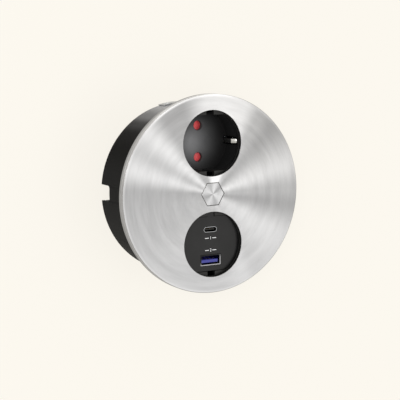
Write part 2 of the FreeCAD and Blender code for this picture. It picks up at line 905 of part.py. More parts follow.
def terminal_block():
    """The three-pole block that the mains lead is wired to."""
    low, high = block_bottom, block_top
    body = rounded_block(block_half_x, block_half_y, block_corner, low, high, -block_x, 0)
    removed = []
    for pole in (-1, 0, 1):
        bore = cylinder(pole_bore, -block_half_x - over, block_half_x + over)
        bore.rotate(Vector(0, 0, 0), Vector(0, 1, 0), 90)
        removed.append(moved(bore, -block_x, pole * pole_pitch, pole_centre))
    for x, y in pole_screw_places():
        removed.append(cylinder(pole_screw_radius + running_gap, low - over, pole_centre, x, y))
    for side in (1, -1):
        y = side * block_post_y
        removed.append(cylinder(screw_clearance, low - over, high + over, -block_x, y))
        removed.append(cylinder(screw_head_radius + fit_gap, low - over, block_screw_seat, -block_x, y))
    return cut_all(body, removed)


def pole_screw_places():
    return [
        (side * pole_screw_x - block_x, pole * pole_pitch)
        for pole in (-1, 0, 1)
        for side in (1, -1)
    ]


def terminal_screws():
    """The six wire screws of the terminal block."""
    low, high = block_bottom + fit_gap, pole_centre - fit_gap
    screws = []
    for x, y in pole_screw_places():
        screw = cylinder(pole_screw_radius, low, high, x, y)
        screws.append(screw.cut(driver_slot(pole_screw_radius, low, x, y)))
    return Part.makeCompound(screws)


def block_screws():
    """Two screws that hold the terminal block to its posts."""
    tip = block_top + pilot_depth - tip_gap
    places = [(-block_x, side * block_post_y) for side in (1, -1)]
    return Part.makeCompound([pan_screw(block_screw_seat, tip, x, y) for x, y in places])


def cable_clamp():
    """The bar that holds the mains lead against the saddle."""
    low, half_y = clamp_bar_bottom, clamp_post_y + post_radius
    parts = [rounded_block(clamp_half_x, half_y, clamp_corner, low, clamp_bar_top, -clamp_x, 0)]
    removed = []
    for side in (1, -1):
        y = side * clamp_post_y
        parts.append(cylinder(post_radius, low, clamp_top, -clamp_x, y))
        removed.append(cylinder(screw_clearance, low - over, clamp_top + over, -clamp_x, y))
        removed.append(cylinder(screw_head_radius + fit_gap, low - over, clamp_screw_seat, -clamp_x, y))
    return cut_all(join(parts), removed)


def clamp_screws():
    """Two screws, sunk in the clamp's bar, that draw it to the posts."""
    tip = clamp_top + pilot_depth - tip_gap
    places = [(-clamp_x, side * clamp_post_y) for side in (1, -1)]
    return Part.makeCompound([pan_screw(clamp_screw_seat, tip, x, y) for x, y in places])


def back_cover():
    """The rear plate, inset in the can, cut out in line with the cable outlet."""
    radius = wall_inside - cover_gap
    plate = cylinder(radius, cover_rear, cover_front)
    low, high = cover_rear - over, cover_front + over
    inset = outlet_inset - housing_radius
    outlet = block(-housing_radius, inset, -outlet_width / 2, outlet_width / 2, low, high)
    removed = [outlet.makeFillet(outlet_corner, straight_edges(outlet, UP, x=inset))]
    for x, y in cover_posts():
        removed.append(cylinder(screw_clearance, low, high, x, y))
        removed.append(cone(countersink_radius, screw_clearance, cover_rear, cover_front - fit_gap, x, y))
    return cut_all(plate, removed)


def cover_posts():
    """Where the four posts of the back cover stand."""
    return [(x * cover_post_x, y * cover_post_y) for x in (1, -1) for y in (1, -1)]


def cover_screws():
    """Four countersunk screws, flush with the back cover."""
    head_top = cover_front - fit_gap
    tip = cover_front + pilot_depth - tip_gap
    screws = []
    for x, y in cover_posts():
        head = cone(countersink_radius - running_gap, screw_radius, cover_rear, head_top, x, y)
        shank = cylinder(screw_radius, head_top, tip, x, y)
        screws.append(join([head, shank]).cut(driver_slot(countersink_radius, cover_rear, x, y)))
    return Part.makeCompound(screws)


def clip_pad(side):
    """The fixed pad of a spring clip, riveted to the wall at the rear edge."""
    start, stop = side * 90 - clip_half_angle, side * 90 + clip_half_angle
    outer = housing_radius + clip_sheet
    body = sector(housing_radius, outer, start, stop, housing_rear, housing_rear + clip_pad_height)
    return cut_all(body, on_rivet_axes(rivet_radius, clip_sheet + over))


def clip_tongue(side):
    """The sprung tongue of a clip, leaning out from the wall towards the flange."""
    inner = housing_radius + clip_gap
    low = housing_rear + clip_pad_height + clip_gap
    high = low + clip_tongue_length
    leaf = sector(inner, inner + clip_sheet, 90 - clip_half_angle, 90 + clip_half_angle, low, high)
    outline = block(-clip_tongue_half, clip_tongue_half, 0, 2 * inner, low, high)
    free_edges = straight_edges(outline, Vector(0, 1, 0), z=high)
    leaf = leaf.common(outline.makeFillet(clip_tip_round, free_edges))
    leaf.rotate(Vector(0, inner, low), Vector(1, 0, 0), -clip_lean)
    if side < 0:
        leaf.rotate(Vector(0, 0, 0), UP, 180)
    return leaf


def on_rivet_axes(radius, length):
    """Cylinders on the rivets' axes, from the heads' outer faces to a length inside the pads' faces."""
    found = []
    for side in (1, -1):
        for turn in (1, -1):
            x, y = polar(housing_radius + clip_sheet + rivet_head, side * 90 + turn * rivet_angle)
            inward = Vector(-x, -y, 0).normalize()
            start = Vector(x, y, housing_rear + clip_pad_height / 2)
            found.append(Part.makeCylinder(radius, length + rivet_head, start, inward))
    return found


def clip_rivets():
    """Four flat-headed rivets through the pads and the wall."""
    shanks = on_rivet_axes(rivet_radius, clip_sheet + housing_wall)
    heads = on_rivet_axes(rivet_head_radius, 0)
    return Part.makeCompound([join([shank, head]) for shank, head in zip(shanks, heads)])


def export(name, shape):
    shape.exportStep(os.path.join("parts", name + ".step"))


def main():
    os.makedirs("parts", exist_ok=True)
    export("lid_plate", lid_plate())
    export("lid_carrier", lid_carrier())
    export("hex_spindle", hex_spindle())
    export("spring_washer", spring_washer())
    export("retaining_ring", retaining_ring())
    export("trim_ring", trim_ring())
    export("glide_ring", glide_ring())
    export("flange_seal", flange_seal())
    export("housing", housing())
    export("deck", deck())
    export("mains_insert", mains_insert())
    export("shutter", shutter())
    export("shutter_spring", shutter_spring())
    export("contact_base", contact_base())
    export("base_screws", base_screws())
    export("live_contact", pin_contact(1))
    export("neutral_contact", pin_contact(-1))
    export("earth_strap", earth_strap())
    export("insert_screws", insert_screws())
    export("usb_faceplate", usb_faceplate())
    export("usb_case", usb_case())
    export("usb_a_shell", usb_a_shell())
    export("usb_a_tongue", usb_a_tongue())
    export("usb_c_shell", usb_c_shell())
    export("usb_c_tongue", usb_c_tongue())
    export("usb_port_board", usb_port_board())
    export("usb_power_board", usb_power_board())
    export("usb_transformer", usb_transformer())
    export("usb_capacitors", usb_capacitors())
    export("board_header", board_header())
    export("terminal_block", terminal_block())
    export("terminal_screws", terminal_screws())
    export("block_screws", block_screws())
    export("cable_clamp", cable_clamp())
    export("clamp_screws", clamp_screws())
    export("back_cover", back_cover())
    export("cover_screws", cover_screws())
    export("clip_pad_upper", clip_pad(1))
    export("clip_pad_lower", clip_pad(-1))
    export("clip_tongue_upper", clip_tongue(1))
    export("clip_tongue_lower", clip_tongue(-1))
    export("clip_rivets", clip_rivets())


main()
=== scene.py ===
"""Looks of the worktop socket: a turning spun-steel lid over a mains recess and a USB charger.

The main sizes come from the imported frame. Finer ones are settings, or are named with their piece.
Lengths are in metres.
"""

import bmesh
import bpy
import json
import math
from bpy.props import FloatProperty, FloatVectorProperty, IntProperty, PointerProperty
from mathutils import Matrix, Vector


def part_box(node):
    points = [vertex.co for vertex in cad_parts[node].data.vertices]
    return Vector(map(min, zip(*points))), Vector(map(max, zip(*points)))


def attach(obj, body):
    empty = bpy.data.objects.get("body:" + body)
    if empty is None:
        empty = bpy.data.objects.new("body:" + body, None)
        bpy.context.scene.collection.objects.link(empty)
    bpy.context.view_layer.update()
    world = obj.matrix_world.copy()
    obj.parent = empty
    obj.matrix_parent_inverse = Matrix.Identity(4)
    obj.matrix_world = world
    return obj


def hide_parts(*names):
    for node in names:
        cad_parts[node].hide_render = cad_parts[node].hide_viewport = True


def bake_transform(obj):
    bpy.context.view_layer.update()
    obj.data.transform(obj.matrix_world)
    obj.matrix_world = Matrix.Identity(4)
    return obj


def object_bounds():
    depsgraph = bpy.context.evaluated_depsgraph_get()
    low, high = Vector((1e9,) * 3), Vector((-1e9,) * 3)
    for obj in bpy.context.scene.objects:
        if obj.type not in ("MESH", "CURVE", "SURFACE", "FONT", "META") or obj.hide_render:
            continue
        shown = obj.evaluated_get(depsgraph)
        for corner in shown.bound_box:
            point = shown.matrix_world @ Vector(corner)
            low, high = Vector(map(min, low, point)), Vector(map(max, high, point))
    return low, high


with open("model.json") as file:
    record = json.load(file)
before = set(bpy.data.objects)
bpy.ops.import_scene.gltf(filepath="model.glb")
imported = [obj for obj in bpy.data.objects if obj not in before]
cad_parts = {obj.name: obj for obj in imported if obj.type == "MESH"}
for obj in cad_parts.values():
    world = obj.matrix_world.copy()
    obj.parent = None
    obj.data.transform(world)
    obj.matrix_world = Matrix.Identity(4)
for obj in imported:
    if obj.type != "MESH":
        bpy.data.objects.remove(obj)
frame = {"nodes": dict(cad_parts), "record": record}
cad_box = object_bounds()
cad_nodes = frame["nodes"]

bl_info = {
    "name": "Worktop socket looks",
    "version": (1, 0, 0),
    "blender": (4, 5, 0),
    "location": "3D View > Sidebar > Worktop socket",
    "description": "Dresses the worktop socket's solids with finished meshes and materials",
    "category": "Object",
}

MM = 0.001

# How finely a mesh is joined, shaded and rounded
MERGE_DISTANCE = 0.002 * MM
FLAT_ANGLE = math.radians(0.5)
BEVEL_ANGLE = math.radians(35)
SHARP_ANGLE = math.radians(32)
LEVEL_NORMAL = 0.99999
CORNER_STEPS = 5
FLARE_STEPS = 4
OPENING_STEPS = 160

lid_low, lid_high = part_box("lid_plate")
ring_low, ring_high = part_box("trim_ring")
insert_low, insert_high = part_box("mains_insert")
face_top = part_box("usb_faceplate")[1].z
lid_radius = min(lid_high.x, lid_high.y, -lid_low.x, -lid_low.y)
lid_top = lid_high.z
module_offset = (insert_low.y + insert_high.y) / 2


# Settings

def length(name, description, default, low=0.0):
    return FloatProperty(
        name=name, description=description, default=default, min=low, unit="LENGTH", precision=5
    )


def colour(name, description, default):
    return FloatVectorProperty(
        name=name, description=description, default=default, size=3, min=0, max=1, subtype="COLOR"
    )


def share(name, description, default):
    return FloatProperty(name=name, description=description, default=default, min=0, max=1, subtype="FACTOR")


def angle(name, description, degrees, limit):
    return FloatProperty(
        name=name, description=description, default=math.radians(degrees), min=-math.radians(limit),
        max=math.radians(limit), unit="ROTATION",
    )


class LidSettings(bpy.types.PropertyGroup):
    """The spun steel of the lid, its trim ring and its pivot."""

    sheet: length("Sheet", "Thickness of the steel", 0.8 * MM)
    opening_radius: length("Opening radius", "Radius of the two round openings", 19.5 * MM)
    hexagon_flats: length("Hexagon", "Distance across the flats of the hexagonal hole", 13.6 * MM)
    rim_round: length("Rim rounding", "Radius of the rim's rolled edge", 0.4 * MM)
    hole_round: length("Hole rounding", "Radius of the openings' upper edges", 0.15 * MM)
    steps: IntProperty(name="Steps", description="Sides of the round rim", default=288, min=32, max=720)
    roughness: share("Roughness", "How blurred the spun steel's reflections are", 0.34)
    anisotropy: share("Anisotropy", "How much the spun grooves stretch the reflections", 0.6)


class CanSettings(bpy.types.PropertyGroup):
    """The mouldings: can, deck, cover, recess, charger's face and shutter."""

    can_colour: colour("Can", "Colour of the can's plastic", (0.008, 0.008, 0.0082))
    recess_colour: colour("Recess", "Colour of the recess's plastic", (0.012, 0.012, 0.0122))
    face_colour: colour("Face", "Colour of the charger's face", (0.006, 0.006, 0.0064))
    shutter_colour: colour("Shutter", "Colour of the shutter", (0.95, 0.105, 0.115))
    edge: length("Broken edges", "Width of the mouldings' broken edges", 0.2 * MM)
    grain: length("Grain", "Size of the moulded surface's grain", 0.35 * MM)


class FastenerSettings(bpy.types.PropertyGroup):
    """Screws, rivets and contact pads."""

    sunk_head: length("Sunk head", "Radius of the cover screws' countersunk heads", 2.85 * MM)
    plain_head: length("Plain head", "Radius of the other screws' straight-sided heads", 2.7 * MM)
    screw_shank: length("Screw shank", "Radius of a screw's core", 1.0 * MM)
    thread_pitch: length("Thread pitch", "Rise of the screws' thread per turn", 1.0 * MM, 0.2 * MM)
    slot_width: length("Slot width", "Width of the slot for the driver", 0.6 * MM)
    slot_depth: length("Slot depth", "Depth of the slot for the driver", 0.9 * MM)
    rivet_head: length("Rivet head", "Radius of a rivet's head", 2.2 * MM)
    rivet_height: length("Rivet height", "Height of a rivet's domed head", 0.35 * MM)
    pad_pitch: length("Pad pitch", "Distance between two pads of the larger port", 2.5 * MM)


class StageSettings(bpy.types.PropertyGroup):
    """Floor, lamps, world and camera."""

    background: colour("Background", "Colour of the floor and the world", (0.965, 0.93, 0.855))
    shadow_share: share("Shadow share", "How much of the lamps' light and shade the floor shows", 0.12)
    world_strength: FloatProperty(
        name="World", description="Strength of the even light", default=0.8, min=0, max=2
    )
    key_power: FloatProperty(
        name="Key lamp", description="Power of the key lamp", default=2.0, min=0, unit="POWER"
    )
    turn: angle("Turn", "Camera's turn from the lid's axis", 29.16, 90)
    tilt: angle("Tilt", "Camera's tilt from the lid's axis", 7.62, 90)
    roll: angle("Roll", "Camera's roll about its own axis", -0.47, 10)
    distance: length("Distance", "Distance of the camera from the lid's centre", 733.3 * MM)
    pan: length("Pan", "How far left of the lid's centre the camera looks", 7.61 * MM)
    drop: length("Drop", "How far below the lid's centre the camera looks", 3.45 * MM)
    lens: FloatProperty(
        name="Lens", description="Focal length, for a sensor 36 mm wide", default=112.1, min=10, unit="CAMERA"
    )


def settings():
    return bpy.context.scene.worktop_socket


# Meshes

def linked(name, data):
    """A new object in the scene."""
    made = bpy.data.objects.new(name, data)
    bpy.context.scene.collection.objects.link(made)
    return made


def object_from(bm, name):
    mesh = bpy.data.meshes.new(name)
    bm.to_mesh(mesh)
    bm.free()
    return linked(name, mesh)


def plain_mesh(piece):
    """The mesh that a piece comes to, with its modifiers applied."""
    return bpy.data.meshes.new_from_object(piece.evaluated_get(bpy.context.evaluated_depsgraph_get()))


def apply_modifiers(piece):
    """Makes the piece's evaluated mesh its own and removes its modifiers."""
    old = piece.data
    piece.data = plain_mesh(piece)
    piece.modifiers.clear()
    piece.data.name = piece.name
    bpy.data.meshes.remove(old)
    return piece


def smooth(piece):
    """Smooth shading, with flat level faces and sharp edges where faces meet steeply."""
    piece.data.shade_smooth()
    piece.data.set_sharp_from_angle(angle=SHARP_ANGLE)
    for face in piece.data.polygons:
        face.use_smooth = abs(face.normal.z) < LEVEL_NORMAL
    return piece


def softened(corners, roundings):
    """A closed outline of (x, y) corners, each rounded by its own radius."""
    outline = []
    for i, (corner, radius) in enumerate(zip(corners, roundings)):
        here = Vector(corner)
        if radius == 0:
            outline.append(here)
            continue
        before = (Vector(corners[i - 1]) - here).normalized()
        after = (Vector(corners[(i + 1) % len(corners)]) - here).normalized()
        half = before.angle(after) / 2
        centre = here + (before + after).normalized() * radius / math.sin(half)
        start = here + before * radius / math.tan(half) - centre
        stop = here + after * radius / math.tan(half) - centre
        turn = math.atan2(start.cross(stop), start.dot(stop))
        for k in range(CORNER_STEPS + 1):
            outline.append(centre + Matrix.Rotation(turn * k / CORNER_STEPS, 2) @ start)
    return outline


def turned(name, profile, steps, hexagon=0.0):
    """A ring turned about Z from a closed profile of (radius, height) points.

    If its hole is a hexagon, given by its width, the profile is the one through the middle of a flat.
    """
    bm = bmesh.new()
    rows = []
    for i in range(steps):
        heading = math.tau * i / steps
        row = []
        for r, z in profile:
            if r < hexagon:
                r /= math.cos((heading % (math.tau / 6)) - math.tau / 12)
            row.append(bm.verts.new((r * math.cos(heading), r * math.sin(heading), z)))
        rows.append(row)
    for i in range(steps):
        row, following = rows[i], rows[(i + 1) % steps]
        for k in range(len(profile)):
            after = (k + 1) % len(profile)
            bm.faces.new((row[k], following[k], following[after], row[after]))
    bmesh.ops.recalc_face_normals(bm, faces=bm.faces)
    return object_from(bm, name)


def cap_profile(inner, low, top, inner_round):
    """The section of a sheet-steel cap: flat from an inner radius out to the rim, and turned down there."""
    lid = settings().lid
    inside = lid_radius - lid.sheet
    under = top - lid.sheet
    fold = [(inside, under), (inside, low), (lid_radius, low), (lid_radius, top)]
    corners = [(inner, under), *fold, (inner, top)]
    fine = lid.hole_round
    return softened(corners, [0, fine, fine, fine, lid.rim_round, inner_round])


def round_outline(centre, radius, steps):
    angles = [math.tau * i / steps for i in range(steps)]
    return [Vector((centre.x + radius * math.cos(a), centre.y + radius * math.sin(a))) for a in angles]


def flared_cutter(outline, low, top, flare):
    """An upright cutter over a plan outline, which widens in a quarter round just below the top."""
    bm = bmesh.new()
    levels = [(0.0, low)]
    for k in range(FLARE_STEPS + 1):
        slope = math.pi / 2 * k / FLARE_STEPS
        levels.append((flare * (1 - math.cos(slope)), top - flare * (1 - math.sin(slope))))
    levels.append((flare * 1.5, top + flare))
    centre = sum(outline, Vector((0, 0))) / len(outline)
    rows = []
    for grow, z in levels:
        row = []
        for point in outline:
            ray = point - centre
            moved = centre + ray * (1 + grow / ray.length)
            row.append(bm.verts.new((moved.x, moved.y, z)))
        rows.append(row)
    count = len(outline)
    for below, above in zip(rows, rows[1:]):
        for k in range(count):
            after = (k + 1) % count
            bm.faces.new((below[k], below[after], above[after], above[k]))
    bm.faces.new(list(reversed(rows[0])))
    bm.faces.new(rows[-1])
    bmesh.ops.recalc_face_normals(bm, faces=bm.faces)
    return object_from(bm, "cutter")


def cut_out(piece, cutters):
    for cutter in cutters:
        modifier = piece.modifiers.new("cut", "BOOLEAN")
        modifier.operation = "DIFFERENCE"
        modifier.solver = "EXACT"
        modifier.object = cutter
    apply_modifiers(piece)
    for cutter in cutters:
        bpy.data.objects.remove(cutter)
    return piece


def merged_copy(node):
    """A CAD node's loose triangles, joined."""
    bm = bmesh.new()
    bm.from_mesh(cad_nodes[node].data)
    bmesh.ops.remove_doubles(bm, verts=bm.verts, dist=MERGE_DISTANCE)
    return bm


def dressed_copy(node, name, edge, shape=None):
    """A copy of a CAD node in its place, with joined faces and rounded edges, and first reshaped if asked."""
    bm = merged_copy(node)
    bmesh.ops.dissolve_degenerate(bm, edges=bm.edges, dist=MERGE_DISTANCE)
    bmesh.ops.dissolve_limit(bm, angle_limit=FLAT_ANGLE, verts=bm.verts, edges=bm.edges)
    if shape:
        shape(bm)
    bm.normal_update()
    piece = object_from(bm, name)
    piece.data.materials.clear()
    if edge > 0:
        bevel = piece.modifiers.new("broken edges", "BEVEL")
        bevel.limit_method = "ANGLE"
        bevel.angle_limit = BEVEL_ANGLE
        bevel.width = edge
        bevel.segments = 2
        bevel.use_clamp_overlap = False
        apply_modifiers(piece)
    return smooth(piece)


def settle(piece, body, look, slot, *nodes):
    """Gives a finished piece its look and its body, and hides the CAD nodes that it stands for. Its slot is
    not used.
    """
    piece.data.materials.clear()
    piece.data.materials.append(finish(look))
    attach(piece, body)
    if nodes:
        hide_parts(*nodes)
    return piece


def slot_of(node):
    return next(s["material_slot"] for s in frame["record"]["subparts"] if s["node"] == node)


def dress(node, look, edge, body="base", shape=None):
    """Replaces a CAD node by its dressed copy."""
    return settle(dressed_copy(node, node + "_piece", edge, shape), body, look, slot_of(node), node)


def paint(node, look):
    """Gives a CAD node that stays as it is its look."""
    materials = cad_nodes[node].data.materials
    materials.clear()
    materials.append(finish(look))


def radii(node):
    """The distances of a node's vertices from the Z axis."""
    return [math.hypot(v.co.x, v.co.y) for v in cad_nodes[node].data.vertices]


def islands(node):
    """The separate solids of a node, each as a list of its points."""
    bm = merged_copy(node)
    left = set(bm.verts)
    found = []
    while left:
        seeds = [left.pop()]
        points = []
        while seeds:
            vertex = seeds.pop()
            points.append(vertex.co.copy())
            for edge in vertex.link_edges:
                other = edge.other_vert(vertex)
                if other in left:
                    left.remove(other)
                    seeds.append(other)
        found.append(points)
    bm.free()
    found.sort(key=lambda points: tuple(round(sum(c) / len(points), 4) for c in zip(*points)))
    return found


# Shader nodes

def feed(tree, node, inputs):
    """Links or sets each of the given inputs of a node."""
    for key, value in inputs.items():
        if isinstance(value, bpy.types.NodeSocket):
            tree.links.new(value, node.inputs[key])
        else:
            node.inputs[key].default_value = value


def add_node(tree, kind, inputs=None, **values):
    made = tree.nodes.new(kind)
    for key, value in values.items():
        setattr(made, key, value)
    feed(tree, made, inputs or {})
    return made


def maths(tree, operation, first, second=0.0, third=0.0):
    return add_node(tree, "ShaderNodeMath", {0: first, 1: second, 2: third}, operation=operation).outputs[0]


def times(tree, first, second):
    return maths(tree, "MULTIPLY", first, second)


def vectors(tree, operation, first, second=(0, 0, 0)):
    """A vector made from one or two others, or a measure of them."""
    made = add_node(tree, "ShaderNodeVectorMath", {0: first, 1: second}, operation=operation)
    return made.outputs["Value" if operation in ("DISTANCE", "DOT_PRODUCT", "LENGTH") else "Vector"]


def combined(tree, x=0.0, y=0.0, z=0.0):
    return add_node(tree, "ShaderNodeCombineXYZ", {"X": x, "Y": y, "Z": z}).outputs[0]


def mapped(tree, value, low, high, to_low=0.0, to_high=1.0):
    """Takes a value from one range to another, and holds it there."""
    inputs = {"Value": value, "From Min": low, "From Max": high, "To Min": to_low, "To Max": to_high}
    return add_node(tree, "ShaderNodeMapRange", inputs).outputs[0]


def mixed(tree, factor, first, second, blend="MIX"):
    """Mixes two colours, which are the mix node's inputs 6 and 7, as its kinds of input share their names."""
    inputs = {0: factor, 6: first, 7: second}
    return add_node(tree, "ShaderNodeMix", inputs, data_type="RGBA", blend_type=blend).outputs[2]


def new_material(name):
    """A material with an empty tree, its shader and its Object coordinates."""
    material = bpy.data.materials.new(name)
    material.use_nodes = True
    tree = material.node_tree
    tree.nodes.clear()
    shader = add_node(tree, "ShaderNodeBsdfPrincipled")
    add_node(tree, "ShaderNodeOutputMaterial", {"Surface": shader.outputs[0]})
    return material, tree, shader, add_node(tree, "ShaderNodeTexCoord").outputs["Object"]


def noise(tree, place, size, detail=2.0, roughness=0.5):
    """A noise whose blobs are about as large as a length."""
    inputs = {"Vector": place, "Scale": 1 / size, "Detail": detail, "Roughness": roughness}
    return add_node(tree, "ShaderNodeTexNoise", inputs).outputs["Fac"]


def spread(tree, factor, low, high):
    """Maps a noise about its middle to a range."""
    return mapped(tree, factor, 0.3, 0.7, low, high)


def tinted(tree, tint, factor):
    """A colour times a factor that varies over the surface."""
    return mixed(tree, 1.0, (*tint, 1), factor, "MULTIPLY")


def bumped(tree, height, depth, strength=0.4):
    inputs = {"Height": height, "Distance": depth, "Strength": strength}
    return add_node(tree, "ShaderNodeBump", inputs).outputs[0]


def pale_spot(tree, place, centre, reach, gain):
    """Painted light: a factor that is 1 beyond a reach from a point and rises to 1 + gain at the point."""
    away = vectors(tree, "DISTANCE", place, centre)
    near = maths(tree, "MAXIMUM", maths(tree, "MULTIPLY_ADD", away, -1 / reach, 1.0), 0.0)
    return maths(tree, "MULTIPLY_ADD", times(tree, near, near), gain, 1.0)


def turn_share(tree, place):
    """The angle about Z from +X, as a share of a turn."""
    parts = add_node(tree, "ShaderNodeSeparateXYZ", {0: place}).outputs
    turned_by = maths(tree, "ARCTAN2", parts["Y"], parts["X"])
    return maths(tree, "FRACT", maths(tree, "DIVIDE", turned_by, math.tau))


def heading_ramp(tree, share_of_turn, stops):
    """Faintly blue greys by angle about Z, from (degrees, grey) stops, for painted reflections and
    highlights.
    """
    ramp = add_node(tree, "ShaderNodeValToRGB", {0: share_of_turn})
    elements = ramp.color_ramp.elements
    ramp.color_ramp.interpolation = "EASE"
    shades = [(degrees / 360, grey) for degrees, grey in stops]
    shades.append((1.0, shades[0][1]))
    while len(elements) < len(shades):
        elements.new(0.5)
    for element, (position, grey) in zip(elements, shades):
        element.position = position
        element.color = (grey * 0.985, grey * 0.995, grey * 1.03, 1)
    return ramp.outputs["Color"]


# Materials

def moulded(name, tint, roughness, grain, specular=0.3, coat=0.0, mottle=0.25, painted_light=None, painted_highlight=None):
    """Moulded plastic: spark-eroded grain, slightly uneven gloss and colour.

    Painted light makes it paler about a point, where that is given as (centre, reach, gain), and a painted
    highlight changes its shade by the angle about Z, where that is given as (gain, stops).
    """
    material, tree, shader, place = new_material(name)
    fine = noise(tree, place, grain, 3)
    shade = spread(tree, noise(tree, place, 9 * MM, 4), 1 - mottle, 1 + mottle)
    # Painted light about a point
    if painted_light:
        shade = times(tree, shade, pale_spot(tree, place, *painted_light))
    # A painted highlight, by angle about Z
    if painted_highlight:
        gain, stops = painted_highlight
        by_angle = times(tree, heading_ramp(tree, turn_share(tree, place), stops), gain)
        shade = times(tree, shade, by_angle)
    feed(tree, shader, {
        "Base Color": tinted(tree, tint, shade),
        "Roughness": times(tree, spread(tree, fine, 0.9, 1.1), roughness),
        "Specular IOR Level": specular,
        "Coat Weight": coat,
        "Coat Roughness": 0.08,
        "Normal": bumped(tree, fine, grain * 0.08),
    })
    return material


def sheet_metal(name, tint, roughness, line, stretch=(1, 1, 8), lit=None):
    """Rolled or plated metal: fine lines along the sheet and faint clouding.

    Painted shade on one side and a painted highlight on the other are given as a direction and the level
    along it where the shade changes.
    """
    material, tree, shader, place = new_material(name)
    lines = noise(tree, vectors(tree, "MULTIPLY", place, stretch), line, 4, 0.6)
    clouds = noise(tree, place, 6 * MM, 3)
    shade = times(tree, spread(tree, lines, 0.93, 1.05), spread(tree, clouds, 0.92, 1.04))
    # Painted shade on one side, painted highlight on the other
    if lit:
        direction, level = lit
        along = vectors(tree, "DOT_PRODUCT", place, direction)
        side = mapped(tree, along, level - PAINTED_SIDE_FADE, level + PAINTED_SIDE_FADE, *PAINTED_SIDE_SHADES)
        shade = times(tree, shade, side)
    feed(tree, shader, {
        "Base Color": tinted(tree, tint, shade),
        "Roughness": spread(tree, lines, roughness * 0.8, roughness * 1.2),
        "Metallic": 1,
        "Normal": bumped(tree, lines, 0.01 * MM, 0.3),
    })
    return material


def spun_steel(name, stops, roughness, anisotropy, groove=0.5 * MM, rim=None):
    """Steel brushed in circles about Z: painted reflections change its shade by angle, with fine rings by
    radius.

    A rim, given as (radius, stops), has its own painted highlights and shades from that radius outwards.
    """
    material, tree, shader, place = new_material(name)
    flat = vectors(tree, "MULTIPLY", place, (1, 1, 0))
    radius = vectors(tree, "LENGTH", flat)
    share_of_turn = turn_share(tree, place)
    # Painted reflections: greys by angle about Z
    tint = heading_ramp(tree, share_of_turn, stops)
    # The rim's own painted highlights and shades
    if rim:
        start, rim_stops = rim
        beyond = mapped(tree, radius, start, start + RIM_FADE)
        tint = mixed(tree, beyond, tint, heading_ramp(tree, share_of_turn, rim_stops))
    along = vectors(tree, "MULTIPLY", vectors(tree, "NORMALIZE", flat), (1.6, 1.6, 0))
    across = combined(tree, z=maths(tree, "DIVIDE", radius, groove))
    track = vectors(tree, "ADD", across, along)
    rings = noise(tree, track, 1.0, 5, 0.65)
    bands = noise(tree, vectors(tree, "MULTIPLY", track, (1, 1, 0.12)), 1.0, 5, 0.6)
    shade = times(tree, spread(tree, rings, 0.95, 1.05), spread(tree, bands, 0.91, 1.09))
    feed(tree, shader, {
        "Base Color": mixed(tree, 1.0, tint, shade, "MULTIPLY"),
        "Roughness": spread(tree, rings, roughness * 0.85, roughness * 1.15),
        "Metallic": 1,
        "Anisotropic": anisotropy,
        "Tangent": add_node(tree, "ShaderNodeTangent", direction_type="RADIAL", axis="Z").outputs[0],
        "Normal": bumped(tree, rings, 0.006 * MM, 0.25),
    })
    return material


def circuit_board(name, tint):
    """Green lacquer over copper tracks."""
    material, tree, shader, place = new_material(name)
    inputs = {"Vector": place, "Scale": 420.0, "Mortar Size": 0.03, "Color1": (*tint, 1)}
    inputs["Color2"] = (tint[0] * 0.7, tint[1] * 0.8, tint[2] * 0.7, 1)
    inputs["Mortar"] = (tint[0] * 2.2, tint[1] * 1.7, tint[2] * 1.4, 1)
    tracks = add_node(tree, "ShaderNodeTexBrick", inputs).outputs
    feed(tree, shader, {
        "Base Color": tracks["Color"],
        "Roughness": spread(tree, noise(tree, place, 2 * MM), 0.25, 0.4),
        "Normal": bumped(tree, tracks["Fac"], 0.03 * MM, 0.5),
    })
    return material


def foam(name, tint):
    """Closed-cell foam rubber."""
    material, tree, shader, place = new_material(name)
    inputs = {"Vector": place, "Scale": 2200.0}
    cells = add_node(tree, "ShaderNodeTexVoronoi", inputs).outputs["Distance"]
    feed(tree, shader, {
        "Base Color": tinted(tree, tint, spread(tree, cells, 0.8, 1.4)),
        "Roughness": 0.85,
        "Normal": bumped(tree, cells, 0.06 * MM, 0.6),
    })
    return material


def pale_print(name):
    """Pad-printed white ink, a little thin in places."""
    material, tree, shader, place = new_material(name)
    ink = spread(tree, noise(tree, place, 0.25 * MM, 3), 0.85, 1.0)
    feed(tree, shader, {"Base Color": tinted(tree, (0.86, 0.86, 0.86), ink), "Roughness": 0.5})
    return material


# Greys by angle from +X, in degrees: painted reflections and highlights on the lid, its rim, the pivot's
# head, the trim ring and the can
LID_SHADES = (
    (0, 0.31), (16, 0.49), (43, 0.29), (54, 0.36), (67, 0.59), (80, 0.62), (92, 0.58), (113, 0.28),
    (124, 0.28), (138, 0.47), (151, 0.34), (162, 0.44), (175, 0.26), (195, 0.28), (240, 0.32), (275, 0.32),
    (293, 0.38), (301, 0.34), (330, 0.42), (350, 0.25),
)
LID_RIM_SHADES = (
    (0, 0.31), (16, 0.5), (40, 0.36), (54, 0.42), (70, 0.6), (88, 0.8), (106, 0.66), (124, 0.68),
    (134, 0.52), (150, 0.42), (162, 0.5), (175, 0.36), (230, 0.38), (293, 0.38), (301, 0.34), (330, 0.42),
    (350, 0.25),
)
HEAD_SHADES = (
    (0, 0.36), (40, 0.22), (75, 0.4), (110, 0.26), (150, 0.38), (200, 0.22), (240, 0.36), (285, 0.24),
    (325, 0.38),
)
RING_SHADES = ((0, 0.42), (60, 0.4), (130, 0.36), (180, 0.34), (215, 0.3), (270, 0.38), (320, 0.42))
CAN_PAINTED_HIGHLIGHT = (
    (0, 0.02), (62, 0.02), (82, 0.2), (104, 0.86), (120, 0.37), (128, 0.09), (137, 0.01), (148, 0.004),
    (168, 0.019), (200, 0.02), (217, 0.004), (240, 0.016),
)
